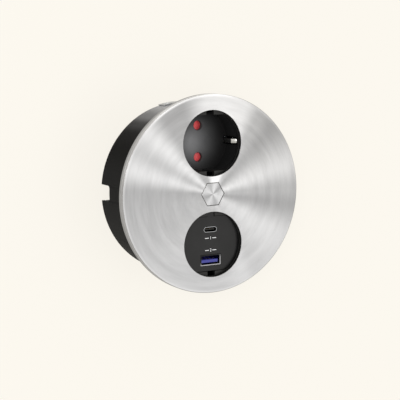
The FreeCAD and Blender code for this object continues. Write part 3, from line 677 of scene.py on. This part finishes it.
# The can's painted highlight is multiplied by this, as its own colour is nearly black
CAN_HIGHLIGHT_GAIN = 64.0

# The lid's rim has its own painted highlights and shades from this width inwards, after a short fade
RIM_WIDTH = 1.9 * MM
RIM_FADE = 1.2 * MM

# Along this direction the port's lip changes from painted shade to painted highlight at its middle,
# over a short fade
LIP_DIRECTION = Vector((0.32, -0.95, 0))
PAINTED_SIDE_FADE = 1 * MM
PAINTED_SIDE_SHADES = (0.15, 2.0)

# Paler patches of painted light as (centre, reach, gain)
# A painted pool of light on the recess's floor
RECESS_PAINTED_LIGHT = ((-7.5 * MM, module_offset - 0.5 * MM, insert_low.z), 26 * MM, 30.0)
# A painted highlight on the charger's face
FACE_PAINTED_HIGHLIGHT = ((-3 * MM, 4 * MM - module_offset, face_top), 24 * MM, 0.6)


def finish(name):
    """The named finish, made once."""
    found = bpy.data.materials.get(name)
    if found:
        return found
    lid, can = settings().lid, settings().can
    grain = can.grain
    rim = (lid_radius - RIM_WIDTH, LID_RIM_SHADES)
    port_middle = sum(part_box("usb_a_shell"), Vector()) / 2
    lip = (LIP_DIRECTION, LIP_DIRECTION.dot(port_middle))
    # Painted light on the recess's floor and the charger's face, and a painted highlight by angle on the can
    recess_look = {"specular": 0.1, "mottle": 0.1, "painted_light": RECESS_PAINTED_LIGHT}
    can_look = {"specular": 0.01, "mottle": 0.08, "painted_highlight": (CAN_HIGHLIGHT_GAIN, CAN_PAINTED_HIGHLIGHT)}
    face_look = {"specular": 0.22, "painted_light": FACE_PAINTED_HIGHLIGHT}
    # Values without a name are a colour or shades, a roughness, and the grain's or lines' size
    makers = {
        "spun_lid": lambda: spun_steel(name, LID_SHADES, lid.roughness, lid.anisotropy, rim=rim),
        "spun_head": lambda: spun_steel(name, HEAD_SHADES, 0.3, 0.3, groove=0.3 * MM),
        "satin_rim": lambda: spun_steel(name, RING_SHADES, 0.38, 0.2),
        "spring_sheet": lambda: sheet_metal(name, (0.42, 0.43, 0.45), 0.3, 0.4 * MM),
        "zinc_plate": lambda: sheet_metal(name, (0.6, 0.62, 0.66), 0.28, 0.5 * MM, stretch=(1, 1, 1)),
        "port_sheet": lambda: sheet_metal(name, (0.2, 0.205, 0.215), 0.25, 0.3 * MM),
        # A darker copy of the port's steel, painted shade, with a painted highlight towards one side
        "port_lip": lambda: sheet_metal(name, (0.1, 0.1, 0.105), 0.3, 0.3 * MM, lit=lip),
        "contact_sheet": lambda: sheet_metal(name, (0.78, 0.56, 0.27), 0.3, 0.4 * MM),
        "nickel_strap": lambda: sheet_metal(name, (0.42, 0.42, 0.41), 0.3, 0.4 * MM),
        "gold_pads": lambda: sheet_metal(name, (0.9, 0.66, 0.3), 0.2, 0.1 * MM),
        "can_plastic": lambda: moulded(name, can.can_colour, 0.45, grain, **can_look),
        "recess_plastic": lambda: moulded(name, can.recess_colour, 0.6, grain, **recess_look),
        "face_plastic": lambda: moulded(name, can.face_colour, 0.36, grain, **face_look),
        "cover_plastic": lambda: moulded(name, (0.014, 0.014, 0.015), 0.45, grain),
        "collar_plastic": lambda: moulded(name, (0.006, 0.006, 0.006), 0.5, grain, specular=0.35),
        "shutter_plastic": lambda: moulded(name, can.shutter_colour, 0.3, grain, specular=0.5, mottle=0.08),
        "tongue_plastic": lambda: moulded(name, (0.025, 0.03, 0.27), 0.3, grain, coat=0.1, mottle=0.1),
        "grey_moulding": lambda: moulded(name, (0.3, 0.3, 0.31), 0.45, grain, specular=0.5),
        "white_moulding": lambda: moulded(name, (0.78, 0.78, 0.75), 0.4, grain, specular=0.5, mottle=0.05),
        "core_ferrite": lambda: moulded(name, (0.06, 0.06, 0.065), 0.6, 0.2 * MM, specular=0.4),
        "can_sleeve": lambda: moulded(name, (0.03, 0.05, 0.16), 0.25, 1.5 * MM, specular=0.5),
        "board_lacquer": lambda: circuit_board(name, (0.02, 0.16, 0.06)),
        "seal_foam": lambda: foam(name, (0.02, 0.02, 0.021)),
        "white_ink": lambda: pale_print(name),
    }
    return makers[name]()


# Geometry node trees

def new_tree(name, sizes):
    """A tree with geometry in and out, a material and a named input for each size."""
    tree = bpy.data.node_groups.new(name, "GeometryNodeTree")
    tree.interface.new_socket("Geometry", in_out="INPUT", socket_type="NodeSocketGeometry")
    for label, default in sizes.items():
        kind = "NodeSocketInt" if isinstance(default, int) else "NodeSocketFloat"
        tree.interface.new_socket(label, in_out="INPUT", socket_type=kind).default_value = default
    tree.interface.new_socket("Material", in_out="INPUT", socket_type="NodeSocketMaterial")
    tree.interface.new_socket("Geometry", in_out="OUTPUT", socket_type="NodeSocketGeometry")
    return tree, tree.nodes.new("NodeGroupInput").outputs


def close_tree(tree, given, instance, **inputs):
    """Ends a tree in real meshes of its instance, one at each given point, with the given material."""
    inputs = {"Points": given["Geometry"], "Instance": instance, **inputs}
    placed = add_node(tree, "GeometryNodeInstanceOnPoints", inputs)
    real = add_node(tree, "GeometryNodeRealizeInstances", {"Geometry": placed.outputs[0]})
    inputs = {"Geometry": real.outputs[0], "Material": given["Material"]}
    inked = add_node(tree, "GeometryNodeSetMaterial", inputs)
    add_node(tree, "NodeGroupOutput", {0: inked.outputs[0]})
    return tree


def raised(tree, geometry, height):
    inputs = {"Geometry": geometry, "Translation": combined(tree, z=height)}
    return add_node(tree, "GeometryNodeTransform", inputs).outputs[0]


def screw_tree():
    """Slotted screws with a thread, one at each point, their heads at the point and their tips above."""
    tree, given = new_tree("screw_tree", {
        "Head radius": 2.7 * MM, "Neck radius": 2.7 * MM, "Head height": 1.9 * MM, "Shank radius": 1.0 * MM,
        "Length": 10 * MM, "Thread pitch": 1.0 * MM, "Slot width": 0.6 * MM, "Slot depth": 0.9 * MM,
    })
    head_height, shank_radius = given["Head height"], given["Shank radius"]
    head = add_node(tree, "GeometryNodeMeshCone", {
        "Vertices": 40, "Radius Top": given["Neck radius"], "Radius Bottom": given["Head radius"],
        "Depth": head_height,
    })
    across = times(tree, given["Head radius"], 3.0)
    deep = times(tree, given["Slot depth"], 2.0)
    slot = add_node(tree, "GeometryNodeMeshCube", {"Size": combined(tree, across, given["Slot width"], deep)})
    inputs = {"Mesh 1": head.outputs["Mesh"], "Mesh 2": slot.outputs["Mesh"]}
    slotted = add_node(tree, "GeometryNodeMeshBoolean", inputs, operation="DIFFERENCE")
    shank_length = maths(tree, "SUBTRACT", given["Length"], head_height)
    core = add_node(tree, "GeometryNodeMeshCylinder", {
        "Vertices": 20, "Radius": shank_radius, "Depth": shank_length,
    })
    core_middle = maths(tree, "MULTIPLY_ADD", shank_length, 0.5, head_height)
    helix = add_node(tree, "GeometryNodeCurveSpiral", {
        "Resolution": 14, "Rotations": maths(tree, "DIVIDE", shank_length, given["Thread pitch"]),
        "Start Radius": shank_radius, "End Radius": shank_radius, "Height": shank_length,
    })
    ridge = add_node(tree, "GeometryNodeCurvePrimitiveCircle", {
        "Resolution": 4, "Radius": times(tree, given["Thread pitch"], 0.2),
    })
    thread = add_node(tree, "GeometryNodeCurveToMesh", {
        "Curve": helix.outputs[0], "Profile Curve": ridge.outputs["Curve"], "Fill Caps": True,
    })
    whole = add_node(tree, "GeometryNodeJoinGeometry")
    tree.links.new(slotted.outputs[0], whole.inputs[0])
    tree.links.new(raised(tree, core.outputs["Mesh"], core_middle), whole.inputs[0])
    tree.links.new(raised(tree, thread.outputs[0], head_height), whole.inputs[0])
    return close_tree(tree, given, whole.outputs[0])


def rivet_tree():
    """Domed rivet heads, one at each point, facing away from the Z axis."""
    tree, given = new_tree("rivet_tree", {"Head radius": 2.2 * MM, "Head height": 0.35 * MM})
    ball = add_node(tree, "GeometryNodeMeshUVSphere", {"Segments": 32, "Rings": 12, "Radius": 1.0})
    size = combined(tree, given["Head radius"], given["Head radius"], given["Head height"])
    dome = add_node(tree, "GeometryNodeTransform", {"Geometry": ball.outputs["Mesh"], "Scale": size})
    place = add_node(tree, "GeometryNodeInputPosition").outputs[0]
    inputs = {"Vector": vectors(tree, "MULTIPLY", place, (1, 1, 0))}
    outward = add_node(tree, "FunctionNodeAlignRotationToVector", inputs, axis="Z")
    return close_tree(tree, given, dome.outputs[0], Rotation=outward.outputs[0])


def pad_tree():
    """Rows of contact pads: one row at each point, running along X."""
    tree, given = new_tree("pad_tree", {
        "Count": 4, "Pitch": 2.5 * MM, "Width": 1.0 * MM, "Depth": 0.06 * MM, "Length": 8 * MM,
    })
    size = combined(tree, given["Width"], given["Depth"], given["Length"])
    pad = add_node(tree, "GeometryNodeMeshCube", {"Size": size})
    gaps = maths(tree, "SUBTRACT", given["Count"], 1.0)
    half = times(tree, times(tree, gaps, given["Pitch"]), -0.5)
    row = add_node(tree, "GeometryNodeMeshLine", {
        "Count": given["Count"], "Start Location": combined(tree, half),
        "Offset": combined(tree, given["Pitch"]),
    })
    inputs = {"Points": row.outputs[0], "Instance": pad.outputs["Mesh"]}
    pads = add_node(tree, "GeometryNodeInstanceOnPoints", inputs)
    return close_tree(tree, given, pads.outputs[0])


def grown(name, maker, points, look, **values):
    """A plain mesh made by a node tree at the given points, its inputs set by name, as in head_radius."""
    bm = bmesh.new()
    for point in points:
        bm.verts.new(point)
    piece = object_from(bm, name)
    tree = bpy.data.node_groups.get(maker.__name__) or maker()
    modifier = piece.modifiers.new("grow", "NODES")
    modifier.node_group = tree
    sockets = {item.name: item.identifier for item in tree.interface.items_tree if item.in_out == "INPUT"}
    modifier[sockets["Material"]] = finish(look)
    for key, value in values.items():
        modifier[sockets[key.replace("_", " ").capitalize()]] = value
    return smooth(apply_modifiers(piece))


# Pieces

class LidOperator(bpy.types.Operator):
    """Spins the steel lid with its rolled rim, two openings and hexagonal hole"""

    bl_idname = "worktop_socket.lid"
    bl_label = "Lid"

    def execute(self, context):
        lid = settings().lid
        profile = cap_profile(lid.hexagon_flats / 2, lid_low.z, lid_top, lid.hole_round / 2)
        plate = turned("lid", profile, lid.steps, lid.hexagon_flats)
        low = lid_top - 2 * lid.sheet
        cutters = []
        for side in (1, -1):
            centre = Vector((0, side * module_offset))
            outline = round_outline(centre, lid.opening_radius, OPENING_STEPS)
            cutters.append(flared_cutter(outline, low, lid_top, lid.hole_round))
        settle(smooth(cut_out(plate, cutters)), "lid", "spun_lid", "brushed_steel", "lid_plate")
        dress("lid_carrier", "collar_plastic", 0.1 * MM, "lid")
        return {"FINISHED"}


class PivotOperator(bpy.types.Operator):
    """Finishes the pivot with its hexagonal head"""

    bl_idname = "worktop_socket.pivot"
    bl_label = "Pivot"

    def execute(self, context):
        dress("hex_spindle", "spun_head", 0.12 * MM, "lid")
        paint("spring_washer", "spring_sheet")
        paint("retaining_ring", "spring_sheet")
        return {"FINISHED"}


class TrimRingOperator(bpy.types.Operator):
    """Spins the fixed trim ring under the lid"""

    bl_idname = "worktop_socket.trim_ring"
    bl_label = "Trim ring"

    def execute(self, context):
        profile = cap_profile(min(radii("trim_ring")), ring_low.z, ring_high.z, 0)
        ring = smooth(turned("trim_ring_piece", profile, settings().lid.steps))
        settle(ring, "base", "satin_rim", "trim_steel", "trim_ring")
        paint("glide_ring", "white_moulding")
        paint("flange_seal", "seal_foam")
        return {"FINISHED"}


class CanOperator(bpy.types.Operator):
    """Finishes the can, the deck inside it and the back cover"""

    bl_idname = "worktop_socket.can"
    bl_label = "Can"

    def execute(self, context):
        edge = settings().can.edge
        dress("housing", "can_plastic", edge * 1.5)
        dress("deck", "collar_plastic", edge)
        dress("back_cover", "cover_plastic", edge)
        return {"FINISHED"}


# The earth clips' ends: where they narrow above the recess's floor, to what share, and their corners' radius
TIP_START = insert_low.z + 4 * MM
TIP_SHARE = 0.66
TIP_ROUND = 1.15 * MM


class MainsOperator(bpy.types.Operator):
    """Finishes the mains recess, its shutter, its earth clips and what lies under them"""

    bl_idname = "worktop_socket.mains"
    bl_label = "Mains socket"

    def execute(self, context):
        edge = settings().can.edge
        dress("mains_insert", "recess_plastic", edge)
        dress("shutter", "shutter_plastic", edge / 2, "shutter")
        dress("earth_strap", "nickel_strap", edge / 2, shape=self.slim_tips)
        dress("contact_base", "grey_moulding", 0)
        dress("live_contact", "contact_sheet", 0)
        dress("neutral_contact", "contact_sheet", 0)
        self.spring()
        return {"FINISHED"}

    def slim_tips(self, bm):
        """Narrows the earth clips above the recess's floor and rounds the corners at their upper ends."""
        for vertex in bm.verts:
            if vertex.co.z > TIP_START:
                vertex.co.y = module_offset + (vertex.co.y - module_offset) * TIP_SHARE
        top = max(v.co.z for v in bm.verts)
        ends = [e for e in bm.edges if min(v.co.z for v in e.verts) > top - 1 * MM]
        corners = [e for e in ends if abs(e.verts[0].co.y - e.verts[1].co.y) < 0.01 * MM]
        bmesh.ops.bevel(bm, geom=corners, offset=TIP_ROUND, segments=5, profile=0.5, affect="EDGES")

    def spring(self):
        """The leaf spring, seated at the wall."""
        leaf = dressed_copy("shutter_spring", "shutter_spring_piece", 0)
        leaf.data.materials.append(finish("spring_sheet"))
        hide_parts("shutter_spring")
        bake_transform(leaf)


# Each row of contact pads: its tongue, the tongue's sides, how far its middle is below the tongue's top, the
# number of pads, the share of the pitch, and a pad's width, depth and length
PAD_ROWS = {
    "usb_a_pads": ("usb_a_tongue", (1,), 6 * MM, 4, 1, 1.1 * MM, 0.08 * MM, 8 * MM),
    "usb_c_pads": ("usb_c_tongue", (1, -1), 2.2 * MM, 12, 0.2, 0.28 * MM, 0.05 * MM, 3.4 * MM),
}

# The printed numbers' places along Y from the charger's middle, their size, and the bars' size and offset
MARKS = {"1": 3.4 * MM, "2": -3.9 * MM}
MARK_HEIGHT = 2.6 * MM
MARK_DEPTH = 0.02 * MM
BAR_SIZE = (2.6 * MM, 0.4 * MM)
BAR_OFFSET = 2.5 * MM


class ChargerOperator(bpy.types.Operator):
    """Finishes the charger: face, ports, contact pads, marks and the parts in its case"""

    bl_idname = "worktop_socket.charger"
    bl_label = "USB charger"

    def execute(self, context):
        edge = settings().can.edge
        dress("usb_faceplate", "face_plastic", edge / 2)
        dress("usb_c_shell", "port_sheet", edge / 4)
        shell = dress("usb_a_shell", "port_sheet", edge / 4)
        # The shell's upward faces take the darker copy of its steel: painted shade, with a painted highlight
        shell.data.materials.append(finish("port_lip"))
        for face in shell.data.polygons:
            face.material_index = int(face.normal.z > 0.9)
        dress("usb_a_tongue", "tongue_plastic", edge / 3)
        dress("usb_c_tongue", "collar_plastic", edge / 6)
        self.pads()
        self.marks()
        paint("usb_case", "cover_plastic")
        paint("usb_port_board", "board_lacquer")
        paint("usb_power_board", "board_lacquer")
        paint("usb_transformer", "core_ferrite")
        paint("usb_capacitors", "can_sleeve")
        paint("board_header", "contact_sheet")
        return {"FINISHED"}

    def pads(self):
        pitch = settings().fastener.pad_pitch
        for name, (tongue, sides, drop, count, share_of_pitch, width, depth, pad_length) in PAD_ROWS.items():
            vertices = [v.co for v in cad_nodes[tongue].data.vertices]
            top = max(co.z for co in vertices)
            ys = [co.y for co in vertices if co.z > top - 0.01 * MM]
            middle, half = (max(ys) + min(ys)) / 2, (max(ys) - min(ys)) / 2
            points = [(0, middle + side * half, top - drop) for side in sides]
            row = grown(
                name, pad_tree, points, "gold_pads", count=count, pitch=pitch * share_of_pitch, width=width,
                depth=depth, length=pad_length,
            )
            settle(row, "base", "gold_pads", "contact_brass")

    def marks(self):
        """Plain numbers between bars, one over each port."""
        bm = bmesh.new()
        for label, y in MARKS.items():
            centre = Vector((0, y - module_offset, face_top + 0.015 * MM))
            text = bpy.data.curves.new("number", "FONT")
            text.body = label
            text.size = MARK_HEIGHT
            text.align_x = "CENTER"
            text.align_y = "CENTER"
            text.extrude = MARK_DEPTH / 2
            number = linked("number", text)
            mesh = plain_mesh(number)
            mesh.transform(Matrix.Translation(centre))
            bm.from_mesh(mesh)
            bpy.data.meshes.remove(mesh)
            bpy.data.objects.remove(number)
            for side in (1, -1):
                place = Matrix.Translation(centre + Vector((side * BAR_OFFSET, 0, 0)))
                bar = place @ Matrix.Diagonal((*BAR_SIZE, MARK_DEPTH, 1))
                bmesh.ops.create_cube(bm, size=1, matrix=bar)
        settle(object_from(bm, "port_marks"), "base", "white_ink", None)


class ScrewsOperator(bpy.types.Operator):
    """Makes every slotted screw, with its thread"""

    bl_idname = "worktop_socket.screws"
    bl_label = "Screws"

    def execute(self, context):
        fastener = settings().fastener
        sunk = (fastener.sunk_head, fastener.screw_shank, 1.6 * MM)
        plain = (fastener.plain_head, fastener.plain_head, 1.9 * MM)
        for node in ("cover_screws", "clamp_screws", "block_screws", "base_screws", "insert_screws"):
            head, neck, height = sunk if node == "cover_screws" else plain
            low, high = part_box(node)
            made = grown(
                node + "_piece", screw_tree, self.lower_ends(node), "zinc_plate", head_radius=head,
                neck_radius=neck, head_height=height, length=high.z - low.z,
                shank_radius=fastener.screw_shank, thread_pitch=fastener.thread_pitch,
                slot_width=fastener.slot_width, slot_depth=fastener.slot_depth,
            )
            settle(made, "base", "zinc_plate", "zinc_steel", node)
        paint("terminal_screws", "zinc_plate")
        return {"FINISHED"}

    def lower_ends(self, node):
        """Where each screw of a node stands: the middle of its box, at its lower end."""
        places = []
        for points in islands(node):
            xs, ys, zs = zip(*points)
            places.append(((min(xs) + max(xs)) / 2, (min(ys) + max(ys)) / 2, min(zs)))
        return places


class ClipsOperator(bpy.types.Operator):
    """Finishes the spring clips and their rivets"""

    bl_idname = "worktop_socket.clips"
    bl_label = "Spring clips"

    def execute(self, context):
        fastener = settings().fastener
        edge = settings().can.edge / 2
        for side in ("upper", "lower"):
            dress("clip_pad_" + side, "spring_sheet", edge)
            dress("clip_tongue_" + side, "spring_sheet", edge, "clip_" + side)
        pad_face = max(radii("clip_pad_upper"))
        points = []
        for island in islands("clip_rivets"):
            xs, ys, zs = zip(*island)
            outward = Vector((sum(xs) / len(xs), sum(ys) / len(ys), 0)).normalized() * pad_face
            points.append((outward.x, outward.y, (min(zs) + max(zs)) / 2))
        heads = grown(
            "clip_rivets_piece", rivet_tree, points, "zinc_plate", head_radius=fastener.rivet_head,
            head_height=fastener.rivet_height,
        )
        settle(heads, "base", "zinc_plate", "zinc_steel", "clip_rivets")
        return {"FINISHED"}


class InletOperator(bpy.types.Operator):
    """Finishes the terminal block and the cable clamp"""

    bl_idname = "worktop_socket.inlet"
    bl_label = "Mains inlet"

    def execute(self, context):
        dress("terminal_block", "white_moulding", 0)
        dress("cable_clamp", "collar_plastic", settings().can.edge)
        return {"FINISHED"}


FLOOR_HALF = 4.0
FLOOR_GAP = 0.05 * MM

# Each lamp's place, diameter and power as a multiple of the key lamp's
LAMPS = {
    "key": ((0.45, -0.3, 1.05), 0.7, 1),
    "front": ((-0.75, 0.25, 1.1), 0.3, 2),
    "back": ((-0.2, 1.3, 0.1), 0.8, 1),
}


class StageOperator(bpy.types.Operator):
    """Sets the floor, the lamps, the world and the camera"""

    bl_idname = "worktop_socket.stage"
    bl_label = "Stage"

    def execute(self, context):
        stage = settings().stage
        context.scene.view_settings.view_transform = "Standard"
        self.floor(stage)
        self.world(stage)
        self.lamps(stage)
        self.camera(stage)
        return {"FINISHED"}

    def floor(self, stage):
        """A wide floor just under the back cover, which shows part of the light and shade on it."""
        bm = bmesh.new()
        z = cad_box[0].z - FLOOR_GAP
        corners = [(-1, -1), (1, -1), (1, 1), (-1, 1)]
        bm.faces.new([bm.verts.new((FLOOR_HALF * x, FLOOR_HALF * y, z)) for x, y in corners])
        floor = object_from(bm, "floor")
        material = bpy.data.materials.new("pale_floor")
        material.use_nodes = True
        kinds = ("ShaderNodeBsdfDiffuse", "ShaderNodeEmission", "ShaderNodeOutputMaterial")
        background = (*stage.background, 1)
        self.two_looks(material.node_tree, kinds, background, background, 1 - stage.shadow_share)
        floor.data.materials.append(material)

    def world(self, stage):
        """An even light, which looks like the background."""
        world = bpy.data.worlds.new("pale_room")
        bpy.context.scene.world = world
        world.use_nodes = True
        kinds = ("ShaderNodeBackground", "ShaderNodeBackground", "ShaderNodeOutputWorld")
        light = (*[stage.world_strength] * 3, 1)
        self.two_looks(world.node_tree, kinds, light, (*stage.background, 1), 1.0)

    def two_looks(self, tree, kinds, light, background, share_seen):
        """Mixes a shader that gives light with the plain one that the camera, metal and glass see."""
        light_kind, seen_kind, output_kind = kinds
        tree.nodes.clear()
        path = add_node(tree, "ShaderNodeLightPath").outputs
        shiny = maths(tree, "MAXIMUM", path["Is Glossy Ray"], path["Is Transmission Ray"])
        factor = times(tree, maths(tree, "MAXIMUM", path["Is Camera Ray"], shiny), share_seen)
        lit = add_node(tree, light_kind, {"Color": light})
        seen = add_node(tree, seen_kind, {"Color": background})
        both = add_node(tree, "ShaderNodeMixShader", {0: factor, 1: lit.outputs[0], 2: seen.outputs[0]})
        add_node(tree, output_kind, {"Surface": both.outputs[0]})

    def lamps(self, stage):
        for name, (place, size, share_of_power) in LAMPS.items():
            data = bpy.data.lights.new(name, "AREA")
            data.shape = "DISK"
            data.size = size
            data.energy = stage.key_power * share_of_power
            lamp = linked(name, data)
            lamp.location = place
            lamp.rotation_euler = (-Vector(place)).to_track_quat("-Z", "Y").to_euler()

    def camera(self, stage):
        turn, tilt = stage.turn, stage.tilt
        back = Vector((-math.sin(turn) * math.cos(tilt), math.sin(tilt), math.cos(turn) * math.cos(tilt)))
        right = Vector((0, 1, 0)).cross(back).normalized()
        upward = back.cross(right)
        roll = Matrix.Rotation(stage.roll, 3, back)
        right, upward = roll @ right, roll @ upward
        data = bpy.data.cameras.new("camera")
        data.lens = stage.lens
        data.sensor_width = 36
        data.clip_start, data.clip_end = 0.05, 20
        camera = linked("camera", data)
        place = Vector((0, 0, lid_top)) - right * stage.pan - upward * stage.drop + back * stage.distance
        axes = Matrix((right, upward, back)).transposed().to_4x4()
        camera.matrix_world = Matrix.Translation(place) @ axes
        bpy.context.scene.camera = camera


# Add-on

class SocketSettings(bpy.types.PropertyGroup):
    """All settings of the worktop socket."""

    lid: PointerProperty(type=LidSettings)
    can: PointerProperty(type=CanSettings)
    fastener: PointerProperty(type=FastenerSettings)
    stage: PointerProperty(type=StageSettings)


PIECES = (
    LidOperator, PivotOperator, TrimRingOperator, CanOperator, MainsOperator, ChargerOperator, ScrewsOperator,
    ClipsOperator, InletOperator, StageOperator,
)


class SocketPanel(bpy.types.Panel):
    """The worktop socket's pieces and settings"""

    bl_idname = "VIEW3D_PT_worktop_socket"
    bl_label = "Worktop socket"
    bl_space_type = "VIEW_3D"
    bl_region_type = "UI"
    bl_category = "Worktop socket"

    def draw(self, context):
        for piece in PIECES:
            self.layout.operator(piece.bl_idname)
        for name in ("lid", "can", "fastener", "stage"):
            box = self.layout.box()
            group = getattr(context.scene.worktop_socket, name)
            for key in group.__annotations__:
                box.prop(group, key)


CLASSES = (LidSettings, CanSettings, FastenerSettings, StageSettings, SocketSettings, *PIECES, SocketPanel)


def register():
    for made in CLASSES:
        bpy.utils.register_class(made)
    bpy.types.Scene.worktop_socket = PointerProperty(type=SocketSettings)


def unregister():
    del bpy.types.Scene.worktop_socket
    for made in reversed(CLASSES):
        bpy.utils.unregister_class(made)


def main():
    register()
    for piece in PIECES:
        group, name = piece.bl_idname.split(".")
        getattr(getattr(bpy.ops, group), name)()


if __name__ == "__main__":
    main()
